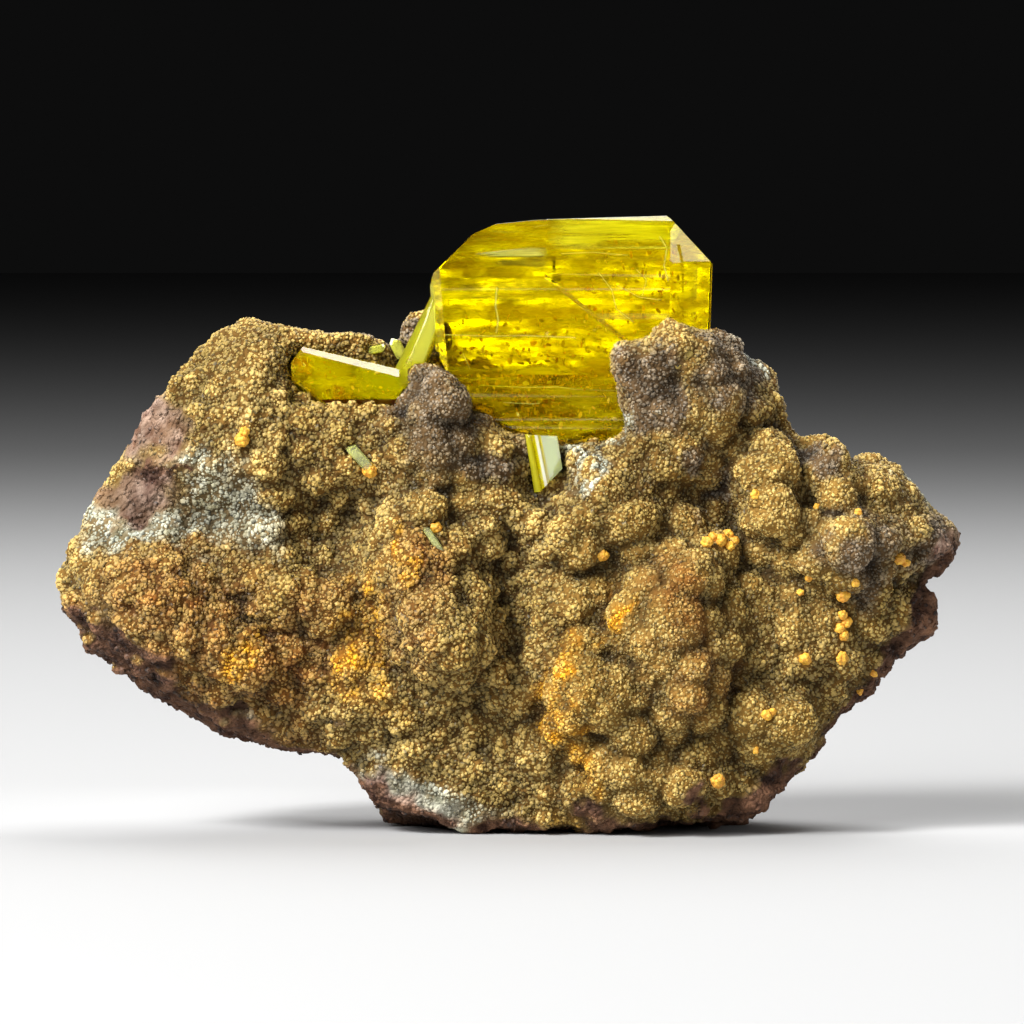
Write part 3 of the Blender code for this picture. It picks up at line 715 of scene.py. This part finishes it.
def keep_in_box(rock):
    """Holds the rock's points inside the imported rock's box, so that it rests on the same plane."""
    low, high = (np.array(corner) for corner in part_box("matrix"))
    proud = PROUD * MM
    points = np.clip(points_of(rock.data), low - (proud, proud, 0), high + proud)
    set_points(rock.data, points)


def make_rock():
    rock = merged_copy("matrix", "limonite_rock")
    mark_relief(rock)
    front = rock_front(rock)
    for scatter in SCATTERS:
        apply_tree(rock, scatter_tree(scatter))
    mounds = make_mounds(front, DOMES, DOME_DEPTH) + make_mounds(front, SWELLS, SWELL_DEPTH)
    rock = join([rock] + mounds, rock.name)
    apply_modifier(rock, "REMESH", mode="VOXEL", voxel_size=ROCK_VOXEL * MM)
    mark_zones(rock)
    apply_tree(rock, roughen_tree())
    keep_in_box(rock)
    return rock


def crystal_guide():
    """All crystals as one mesh, for the grains to keep clear of."""
    names = (CLUSTER, *SMALL_CRYSTALS)
    return join([copy_of(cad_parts[name], "guide") for name in names], "crystal_guide")


def grain_points_tree(guide):
    """Spreads the places of the grains over the druse, away from the crystals."""
    def build(tree, rock):
        density = math_node(tree, "MULTIPLY", attribute(tree, "druse"), GRAIN_DENSITY / MM ** 2)
        spread = add(tree, "GeometryNodeDistributePointsOnFaces", {
            "Mesh": rock, "Density": density, "Seed": 3,
        }, distribute_method="RANDOM")
        even = random_value(tree, 0.0, 1.0, 5)
        share = map_range(tree, math_node(tree, "MULTIPLY", even, even), *GRAIN_SPREAD)
        usual = GRAIN_RADIUS * MM
        full = map_range(tree, attribute(tree, "domes"), usual, GRAIN_RADIUS * DOME_GRAIN * MM)
        radius = math_node(tree, "MULTIPLY", share, full)
        depth = math_node(tree, "MULTIPLY", radius, -GRAIN_BURIED)
        points = move_out(tree, spread.outputs["Points"], depth, spread.outputs["Normal"])
        tilt = random_vector(tree, (-GRAIN_TILT, -GRAIN_TILT, 0.0), (GRAIN_TILT, GRAIN_TILT, math.tau), 6)
        turned = add(tree, "FunctionNodeRotateRotation", {
            0: spread.outputs["Rotation"], 1: tilt,
        }, rotation_space="LOCAL").outputs[0]
        lean = add(tree, "FunctionNodeRotationToEuler", {0: turned}).outputs[0]
        points = stored(tree, points, "lean", lean, "FLOAT_VECTOR")
        (narrow, wide), (short, tall) = GRAIN_STRETCH, GRAIN_RISE
        stretch = random_vector(tree, (narrow, narrow, short), (wide, wide, tall), 9)
        size = vector_math(tree, "SCALE", stretch, radius)
        points = stored(tree, points, "grain_size", size, "FLOAT_VECTOR")
        points = stored(tree, points, "tone", random_value(tree, 0.0, 1.0, 8))
        crystals = model_of(tree, guide, transform_space="RELATIVE")
        near = add(tree, "GeometryNodeProximity", {0: crystals}, target_element="FACES")
        close = compare(tree, "LESS_THAN", near.outputs["Distance"], NEAR_CRYSTAL * MM)
        clear = add(tree, "GeometryNodeDeleteGeometry", {
            "Geometry": points, "Selection": close,
        }, domain="POINT").outputs[0]
        return add(tree, "GeometryNodePointsToVertices", {"Points": clear}).outputs[0]

    return geometry_tree("grain places", build)


def model_grain():
    """One grain of the druse, modelled once and copied to every place: a blunt little dome."""
    deselect()
    bpy.ops.mesh.primitive_cone_add(
        vertices=GRAIN_SIDES,
        radius1=1.0,
        radius2=GRAIN_TOP,
        depth=GRAIN_HEIGHT,
        location=(0, 0, GRAIN_LIFT),
        scale=(1, GRAIN_NARROW, 1),
    )
    grain = applied()
    bpy.ops.object.mode_set(mode="EDIT")
    mesh = bmesh.from_edit_mesh(grain.data)
    for face in mesh.faces:
        face.select = face.normal.z > 0.5
    bmesh.update_edit_mesh(grain.data)
    bpy.ops.mesh.poke(offset=GRAIN_PEAK)
    bpy.ops.object.mode_set(mode="OBJECT")
    store(grain.data, "height", points_of(grain.data)[:, 2])
    grain.name = "grain"
    return grain


def grain_strip_tree(grain, low, high):
    """Sets a grain on each place from low to high along X."""
    def build(tree, places):
        place = add(tree, "GeometryNodeInputPosition").outputs[0]
        along = add(tree, "ShaderNodeSeparateXYZ", {0: place}).outputs["X"]
        chosen = add(tree, "FunctionNodeBooleanMath", {
            0: compare(tree, "GREATER_EQUAL", along, low), 1: compare(tree, "LESS_THAN", along, high),
        }, operation="AND").outputs[0]
        return copies_on(tree, places, model_of(tree, grain), {
            "Selection": chosen,
            "Rotation": attribute(tree, "lean", "FLOAT_VECTOR"),
            "Scale": attribute(tree, "grain_size", "FLOAT_VECTOR"),
        })

    return geometry_tree("grains", build)


def make_druse(rock, guide):
    """The coat of grains, in strips side by side so that each piece stays light."""
    places = copy_of(rock, "grain_places")
    apply_tree(places, grain_points_tree(guide))
    across = np.sort(points_of(places.data)[:, 0])
    strips = math.ceil(len(across) * GRAIN_FACES / STRIP_FACES)
    edges = [across[int(share * (len(across) - 1))] for share in np.linspace(0, 1, strips + 1)]
    edges[0] -= MM
    edges[-1] += MM
    grain = model_grain()
    made = []
    for number, (low, high) in enumerate(zip(edges, edges[1:]), 1):
        piece = copy_of(places, f"limonite_druse_{number}")
        apply_tree(piece, grain_strip_tree(grain, float(low), float(high)))
        made.append(piece)
    for helper in (places, grain):
        bpy.data.objects.remove(helper)
    return made


def make_balls(rock):
    """The ochre balls: small round clusters that sit on the druse."""
    front = rock_front(rock)
    draw = random.Random(17)
    made = []
    for x, z, radius in BALLS:
        place = front(x, z)
        if place is not None:
            turn = [draw.uniform(0, 6) for _ in range(3)]
            scale = (1, draw.uniform(0.75, 1), draw.uniform(0.85, 1.1))
            made.append(ball_behind(place, -BALL_PROUD * radius, radius, 4, scale, turn))
    balls = join(made, "ochre_balls")
    apply_tree(balls, knobbly_tree())
    return balls


def ridge_heights(low, high, seed):
    """Uneven heights between two limits at which growth ridges change."""
    draw = random.Random(seed)
    found = []
    height = low
    while height < high:
        found.append(height)
        height += draw.uniform(*RIDGE_STEP)
    return found


def cut_ridges(piece, heights, normal, belongs):
    """Cuts across the faces that lie along the crystal and satisfy belongs, at each height along normal."""
    pick(piece)
    normal = Vector(normal).normalized()
    for height in heights:
        bpy.ops.object.mode_set(mode="EDIT")
        bpy.ops.mesh.select_all(action="DESELECT")
        mesh = bmesh.from_edit_mesh(piece.data)
        for face in mesh.faces:
            if abs(face.normal.x) < LENGTHWISE and belongs(face):
                face.select = True
        bmesh.update_edit_mesh(piece.data)
        bpy.ops.mesh.bisect(plane_co=normal * height * MM, plane_no=normal)
    bpy.ops.object.mode_set(mode="OBJECT")


def step_ridges(piece, seed):
    """Moves each cut line a little in or out, so that the strips between them catch the light in turn."""
    points = points_of(piece.data)
    normals = normals_of(piece.data)
    slant = LATH_RISE * points[:, 0] * (points[:, 0] < LATH_EDGE * MM)
    across = np.round((points[:, 2] + slant) / MM, 2)
    along = np.round(points[:, 1] / MM, 2)
    front = np.array([random.Random(f"{seed} {value}").uniform(-1, 1) for value in across])
    top = np.array([random.Random(f"{seed} top {value}").uniform(-1, 1) for value in along])
    points[:, 1] += RIDGE_DEPTH * MM * front * normals[:, 1]
    points[:, 2] += RIDGE_DEPTH * MM * top * normals[:, 2] * (np.abs(normals[:, 2]) > FLAT_TOP)
    set_points(piece.data, points)


def clean_crystal(node, name):
    """A copy of a packed crystal whose triangles are joined into whole facets."""
    piece = merged_copy(node, name)
    bpy.ops.object.mode_set(mode="EDIT")
    bpy.ops.mesh.select_all(action="SELECT")
    bpy.ops.mesh.dissolve_limited(angle_limit=math.radians(0.6))
    bpy.ops.object.mode_set(mode="OBJECT")
    return piece


def make_core(node):
    """The cloudy middle of a small crystal."""
    core = clean_crystal(node, f"{node}_core")
    points = points_of(core.data)
    middle = (points.min(0) + points.max(0)) / 2
    set_points(core.data, middle + CORE_SHARE * (points - middle))
    return core


def off_lath(face):
    return face.calc_center_median().x > LATH_EDGE * MM


def on_lath(face):
    return not off_lath(face)


def on_top(face):
    return off_lath(face) and face.normal.z > FLAT_TOP


def make_cluster():
    """The big crystal with whole facets, narrow bevels and growth ridges."""
    piece = clean_crystal(CLUSTER, "legrandite_cluster")
    width = CRYSTAL_BEVEL * MM
    apply_modifier(piece, "BEVEL", width=width, segments=1, limit_method="ANGLE", angle_limit=0.25)
    # Ridges from one height to another along a direction, with a seed, on the faces they belong to.
    for low, high, seed, normal, belongs in (
        (27.4, 42.8, 3, (0, 0, 1), off_lath),
        (-5.6, 3.3, 4, (0, 1, 0), on_top),
        (26.5, 31.0, 5, LATH_SLOPE, on_lath),
    ):
        cut_ridges(piece, ridge_heights(low, high, seed), normal, belongs)
    step_ridges(piece, 1)
    return piece


def block(middle, turn, size):
    """A block of this size about its middle."""
    deselect()
    bpy.ops.mesh.primitive_cube_add(size=1, location=Vector(middle) * MM, rotation=turn)
    active().scale = [side * MM for side in size]
    return applied()


def slab(veil):
    """A thin sheet in the plane of a healed crack."""
    width, height = veil.high[0] - veil.low[0], veil.high[1] - veil.low[1]
    middle = ((veil.low[0] + veil.high[0]) / 2, veil.depth, (veil.low[1] + veil.high[1]) / 2)
    return block(middle, (math.radians(veil.tilt[0]), 0, 0), (width, VEIL_THICKNESS, height))


def make_cracks():
    """The open cracks, each a row of thin bars."""
    made = []
    for crack in CRACKS:
        for (x1, z1), (x2, z2) in zip(crack.corners, crack.corners[1:]):
            middle = ((x1 + x2) / 2, crack.depth, (z1 + z2) / 2)
            lean = math.atan2(z1 - z2, x2 - x1)
            length = math.hypot(x2 - x1, z2 - z1)
            made.append(block(middle, (0, lean, 0), (length, VEIL_THICKNESS, crack.width)))
    return join(made, "crystal_cracks")


def inner_crystal(source):
    """The crystal drawn in by the margin that veils keep from its faces."""
    inner = copy_of(source, "inner crystal")
    set_points(inner.data, points_of(inner.data) - VEIL_MARGIN * MM * normals_of(inner.data))
    return inner


def make_veils(inner):
    """The healed cracks, each trimmed to the inside of the crystal."""
    made = []
    for number, veil in enumerate(VEILS, 1):
        piece = slab(veil)
        piece.name = f"crystal_veil_{number}"
        apply_modifier(piece, "BOOLEAN", operation="INTERSECT", object=inner, solver="EXACT")
        if len(piece.data.polygons) == 0:
            bpy.data.objects.remove(piece)
            continue
        made.append((piece, veil))
    return made


def inside_test(shape):
    """A function that says whether a point lies inside the shape."""
    surface = surface_of(shape)

    def inside(point):
        nearest, normal, _, _ = surface.find_nearest(point)
        return nearest is not None and (point - nearest).dot(normal) < 0

    return inside


def flake_places(flakes, inside):
    """Random places inside the crystal, with a size and a tone each."""
    draw = random.Random(flakes.seed)
    places = []
    while len(places) < flakes.count:
        point = Vector([draw.uniform(low, high) * MM for low, high in zip(flakes.low, flakes.high)])
        if inside(point):
            places.append(point)
    mesh = bpy.data.meshes.new("flake places")
    mesh.from_pydata(places, [], [])
    sizes = [draw.uniform(flakes.small, flakes.large) ** 2 / flakes.large * MM for _ in places]
    store(mesh, "grain_size", sizes)
    store(mesh, "tone", [draw.random() for _ in places])
    return mesh


def flake_tree(flake):
    """Sets a flake on each place, with its thin side turned about at random."""
    def build(tree, places):
        return copies_on(tree, places, model_of(tree, flake), {
            "Rotation": random_vector(tree, (0, 0, 0), (math.tau,) * 3, 2),
            "Scale": attribute(tree, "grain_size"),
        })

    return geometry_tree("flakes", build)


def model_flake():
    deselect()
    bpy.ops.mesh.primitive_uv_sphere_add(segments=6, ring_count=3, radius=1.0, scale=(1.5, 0.9, 0.16))
    return applied()


def make_flakes(inner):
    """The golden flakes sealed in the crystals."""
    inside = inside_test(inner)
    flake = model_flake()
    made = []
    for number, flakes in enumerate(FLAKES, 1):
        piece = bpy.data.objects.new(f"flakes_{number}", flake_places(flakes, inside))
        bpy.context.scene.collection.objects.link(piece)
        apply_tree(piece, flake_tree(flake))
        made.append(piece)
    bpy.data.objects.remove(flake)
    return join(made, "crystal_flakes")


def knobbly_tree():
    """Gives the balls their knobbly skin."""
    def build(tree, balls):
        return move_out(tree, balls, relief(tree, "ShaderNodeTexVoronoi", KNOBBLY, 0.45))

    return geometry_tree("knobbly skin", build)


def new_material(name):
    """An empty material, and its node tree."""
    material = bpy.data.materials.new(name)
    material.use_nodes = True
    material.node_tree.nodes.clear()
    return material, material.node_tree


def coat(tree, inputs, **outputs):
    """Ends a material's tree with a surface that has these inputs, and with these other outputs."""
    shader = add(tree, "ShaderNodeBsdfPrincipled", inputs)
    add(tree, "ShaderNodeOutputMaterial", {"Surface": shader.outputs[0], **outputs})


def colour(red, green, blue):
    return (red, green, blue, 1.0)


def mix(tree, share, first, second):
    return add(tree, "ShaderNodeMix", {0: share, 6: first, 7: second}, data_type="RGBA").outputs[2]


def zone(tree, name):
    return add(tree, "ShaderNodeAttribute", attribute_name=name).outputs["Fac"]


def own_space(tree):
    """A point's place in the object's own space."""
    return add(tree, "ShaderNodeTexCoord").outputs["Object"]


def patches(tree, scale, low, high):
    """Noise in the object's own space, spread to 0 and 1."""
    texture = add(tree, "ShaderNodeTexNoise", {"Vector": own_space(tree), "Scale": scale, "Detail": 3.0})
    return map_range(tree, texture.outputs[0], 0.0, 1.0, low, high)


def stone_colour(tree):
    """The colour of the stone by zone, with patches of each zone's lighter and darker tones, and with painted
    light on mound tops and painted shade in creases.
    """
    noises = {"wide": patches(tree, 160.0, 0.35, 0.65), "fine": patches(tree, 900.0, 0.35, 0.65)}
    found = mix(tree, noises["wide"], colour(*KHAKI[0]), colour(*KHAKI[1]))
    for stone in STONES:
        tone = mix(tree, noises[stone.pattern], colour(*stone.first), colour(*stone.second))
        if stone.zone == "mauve":
            stained = math_node(tree, "MULTIPLY", patches(tree, 110.0, 0.42, 0.62), 0.7)
            tone = mix(tree, stained, tone, colour(*STAIN))
        share = zone(tree, stone.zone)
        if stone.thinned is not None:
            thinned = map_range(tree, noises[stone.thinned], stone.least, 1.0)
            share = math_node(tree, "MULTIPLY", share, thinned)
        found = mix(tree, share, found, tone)
    # Painted light and shade: the stone is painted brighter on mound tops and darker in creases.
    shade = map_range(tree, zone(tree, "crease"), *CREASE_SHADE, -1.0, 1.0)
    return vector_math(tree, "SCALE", found, shade)


def rock_material():
    """Stone, with painted shade between the grains, a painted golden glow behind the crystal cluster, and
    fine bumps.
    """
    material, tree = new_material("limonite rock")
    stone = stone_colour(tree)
    # Painted shade between the grains: the stone under the druse is darkened by these shares.
    share = mix(tree, zone(tree, "domes"), colour(*DRUSE_GAP_SHADE), colour(*DOME_GAP_SHADE))
    found = mix(tree, zone(tree, "druse"), stone, vector_math(tree, "MULTIPLY", stone, share))
    # Painted glow: stone close behind the crystal cluster is painted bright golden.
    found = mix(tree, zone(tree, "socket"), found, colour(*PAINTED_SOCKET_GLOW))
    grains = add(tree, "ShaderNodeTexVoronoi", {"Vector": own_space(tree), "Scale": 3300.0})
    bump = add(tree, "ShaderNodeBump", {
        "Height": grains.outputs["Distance"], "Strength": 1.0, "Distance": 0.00022,
    }, invert=True)
    coat(tree, {
        "Base Color": found, "Roughness": 0.85, "Specular IOR Level": 0.2, "Normal": bump.outputs[0],
    })
    return material


def grain_material():
    """Grains in the colour of their stone, each with a tone of its own and painted shade at its foot."""
    material, tree = new_material("limonite druse")
    tone = map_range(tree, zone(tree, "tone"), *GRAIN_TONES)
    # Painted shade: each grain is painted darker towards its foot.
    foot = map_range(tree, zone(tree, "height"), *GRAIN_SHADE, 0.0, 0.65)
    found = vector_math(tree, "SCALE", stone_colour(tree), math_node(tree, "MULTIPLY", tone, foot))
    coat(tree, {"Base Color": found, "Roughness": 0.55, "Specular IOR Level": 0.3})
    return material


def ball_material():
    material, tree = new_material("ochre balls")
    found = mix(tree, patches(tree, 2500.0, 0.35, 0.65), colour(0.88, 0.50, 0.045), colour(0.70, 0.30, 0.03))
    coat(tree, {"Base Color": found, "Roughness": 0.6})
    return material


def crystal_material(name, tint, density, clear=1.0, body=(1, 1, 1)):
    """Clear crystal: it is see-through, and its body absorbs more the deeper one looks into it.

    A clouded crystal is less clear, with a body colour of its own."""
    material, tree = new_material(name)
    depth = add(tree, "ShaderNodeVolumeAbsorption", {"Color": colour(*tint), "Density": density})
    coat(tree, {
        "Base Color": colour(*body), "Transmission Weight": clear, "Roughness": 0.0, "IOR": 1.69,
    }, Volume=depth.outputs[0])
    return material


def fading(tree, place, veil):
    """1 in the middle of a sheet, and 0 at its ends and edges."""
    parts = add(tree, "ShaderNodeSeparateXYZ", {0: place})
    lean = math.cos(math.radians(veil.tilt[0]))
    shares = []
    for name, low, high, share in (
        ("X", veil.low[0], veil.high[0], 1.0), ("Z", veil.low[1], veil.high[1], lean),
    ):
        middle, half = (low + high) / 2, (high - low) / 2 * share
        away = math_node(tree, "ABSOLUTE", math_node(tree, "SUBTRACT", parts.outputs[name], middle * MM), 0.0)
        near, far = half * 0.55 * MM, half * 0.97 * MM
        shares.append(map_range(tree, away, 1.0, 0.0, near, far, interpolation_type="SMOOTHSTEP"))
    return math_node(tree, "MULTIPLY", *shares)


def veil_material(veil, number):
    """A healed crack: pale streaks with clear crystal between them. The dark sheets are painted shade and the
    pale bevel sheet a painted highlight, in the same streaks.
    """
    material, tree = new_material(f"healed crack {number}")
    place = own_space(tree)
    drawn = add(tree, "ShaderNodeMapping", {
        "Vector": place,
        "Scale": (VEIL_STREAKS / veil.stretch, VEIL_STREAKS, VEIL_STREAKS * veil.stretch ** 0.4),
        "Rotation": (0, math.radians(veil.tilt[1]), 0),
        "Location": (3.7 * number, 0, 1.3 * number),
    })
    texture = add(tree, "ShaderNodeTexNoise", {
        "Vector": drawn.outputs[0], "Scale": 1.0, "Detail": 6.0, "Roughness": 0.6,
    })
    middle = max(0.72 - 0.36 * veil.cover, 0.16)
    shown = map_range(tree, texture.outputs[0], 0.0, 0.75, middle - 0.10, middle + 0.14)
    if veil.tint not in WHOLE:
        shown = math_node(tree, "MULTIPLY", shown, fading(tree, place, veil))
    coat(tree, {"Base Color": colour(*veil.tint), "Roughness": 0.5, "Alpha": shown})
    return material


def crack_material():
    material, tree = new_material("open cracks")
    coat(tree, {"Base Color": colour(1.0, 0.98, 0.55), "Roughness": 0.4, "Alpha": 0.8})
    return material


def prism_shading_bands(tree):
    """The small prism's faces and edges as bands along its length, from its left side to its right: its
    yellow, painted lighter and darker face by face as painted light and shade, with a painted highlight on
    one edge.
    """
    parts = add(tree, "ShaderNodeSeparateXYZ", {0: own_space(tree)})
    leaning = math_node(tree, "MULTIPLY", parts.outputs["Z"], PRISM_LEAN)
    across = math_node(tree, "ADD", parts.outputs["X"], leaning)
    low, high = PRISM_SHADING_BANDS[0][0], PRISM_SHADING_BANDS[-1][0]
    ramp = add(tree, "ShaderNodeValToRGB", {0: map_range(tree, across, 0.0, 1.0, low * MM, high * MM)})
    while len(ramp.color_ramp.elements) < len(PRISM_SHADING_BANDS):
        ramp.color_ramp.elements.new(0.5)
    for element, (edge, tint) in zip(ramp.color_ramp.elements, PRISM_SHADING_BANDS):
        element.position = (edge - low) / (high - low)
        element.color = colour(*tint)
    return ramp.outputs[0]


def paint_prism_shading(material):
    """Colours a material by the small prism's bands of painted light and shade."""
    tree = material.node_tree
    tree.links.new(prism_shading_bands(tree), tree.nodes["Principled BSDF"].inputs["Base Color"])


def core_material(name, tint):
    """The cloudy middle of a small crystal: wisps in clear crystal."""
    material, tree = new_material(name)
    shown = map_range(tree, patches(tree, 1400.0, 0.38, 0.62), 0.25, 0.95)
    coat(tree, {"Base Color": colour(*tint), "Roughness": 0.5, "Alpha": shown})
    return material


def flake_material():
    material, tree = new_material("golden flakes")
    found = mix(tree, zone(tree, "tone"), colour(0.97, 0.88, 0.25), colour(0.90, 0.58, 0.04))
    coat(tree, {"Base Color": found, "Roughness": 0.3})
    return material


def small_crystal_materials():
    """The clear and the cloudy material of each look."""
    made = {}
    for name, look in LOOKS.items():
        clear = crystal_material(f"{name} legrandite", look.tint, look.density, look.clear, look.body)
        cloudy = core_material(f"{name} core", look.core)
        made[name] = (clear, cloudy)
    # The prism's clear and cloudy materials both get its bands of painted light and shade.
    for material in made["banded"]:
        paint_prism_shading(material)
    return made


def dress(piece, material, slot, *nodes):
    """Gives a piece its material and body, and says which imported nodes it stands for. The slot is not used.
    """
    piece.data.materials.clear()
    piece.data.materials.append(material)
    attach(piece, BODY)
    if nodes:
        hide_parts(*nodes)


def make_floor():
    deselect()
    bpy.ops.mesh.primitive_plane_add(size=12.0, location=(0, 0, -0.00002))
    floor = active()
    floor.name = "floor"
    material, tree = new_material("pale floor")
    coat(tree, {"Base Color": colour(0.42, 0.42, 0.42), "Roughness": 0.9})
    floor.data.materials.append(material)


def softbox(light):
    deselect()
    bpy.ops.object.light_add(type="AREA", location=light.place)
    lamp = active()
    lamp.name = light.name
    lamp.data.shape = "RECTANGLE"
    lamp.data.size, lamp.data.size_y = light.size
    lamp.data.energy = light.power
    lamp.rotation_euler = (Vector(light.aim) - Vector(light.place)).to_track_quat("-Z", "Y").to_euler()
    lamp.visible_camera = False


def make_lights():
    for light in LIGHTS:
        softbox(light)
    world = bpy.data.worlds.new("studio")
    bpy.context.scene.world = world
    world.use_nodes = True
    world.node_tree.nodes["Background"].inputs["Color"].default_value = colour(0.004, 0.004, 0.004)


def make_camera():
    rise = math.radians(CAMERA_RISE)
    target = Vector(CAMERA_TARGET)
    back = Vector((0, -math.cos(rise), math.sin(rise)))
    deselect()
    bpy.ops.object.camera_add(location=(target + CAMERA_DISTANCE * back) * MM)
    camera = active()
    camera.rotation_euler = (-back).to_track_quat("-Z", "Y").to_euler()
    camera.data.sensor_width = SENSOR
    camera.data.lens = SENSOR * CAMERA_DISTANCE / PICTURE_WIDTH
    camera.data.clip_start = 0.01
    bpy.context.scene.camera = camera


def make_big_crystal():
    """The cluster, with the healed cracks, open cracks and flakes inside it."""
    cluster = make_cluster()
    shape = clean_crystal(CLUSTER, "cluster shape")
    inner = inner_crystal(shape)
    legrandite = crystal_material("legrandite", (0.998, 0.985, 0.0), 2000.0)
    dress(cluster, legrandite, CRYSTAL_SLOT, CLUSTER)
    for number, (piece, veil) in enumerate(make_veils(inner), 1):
        dress(piece, veil_material(veil, number), CRYSTAL_SLOT)
    dress(make_cracks(), crack_material(), CRYSTAL_SLOT)
    dress(make_flakes(inner), flake_material(), CRYSTAL_SLOT)
    for helper in (shape, inner):
        bpy.data.objects.remove(helper)


def make_small_crystals():
    """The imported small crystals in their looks, each with a cloudy core."""
    looks = small_crystal_materials()
    for name, (slot, look) in SMALL_CRYSTALS.items():
        clear, cloudy = looks[look]
        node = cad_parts[name]
        node.data.materials.clear()
        node.data.materials.append(clear)
        dress(make_core(name), cloudy, slot)


def main():
    rock = make_rock()
    guide = crystal_guide()
    druse = make_druse(rock, guide)
    bpy.data.objects.remove(guide)
    balls = make_balls(rock)
    dress(rock, rock_material(), ROCK_SLOT, "matrix")
    grain_look = grain_material()
    for piece in druse:
        dress(piece, grain_look, ROCK_SLOT)
    dress(balls, ball_material(), ROCK_SLOT)
    make_big_crystal()
    make_small_crystals()
    make_floor()
    make_lights()
    make_camera()
    bpy.context.scene.view_settings.view_transform = "Standard"


main()
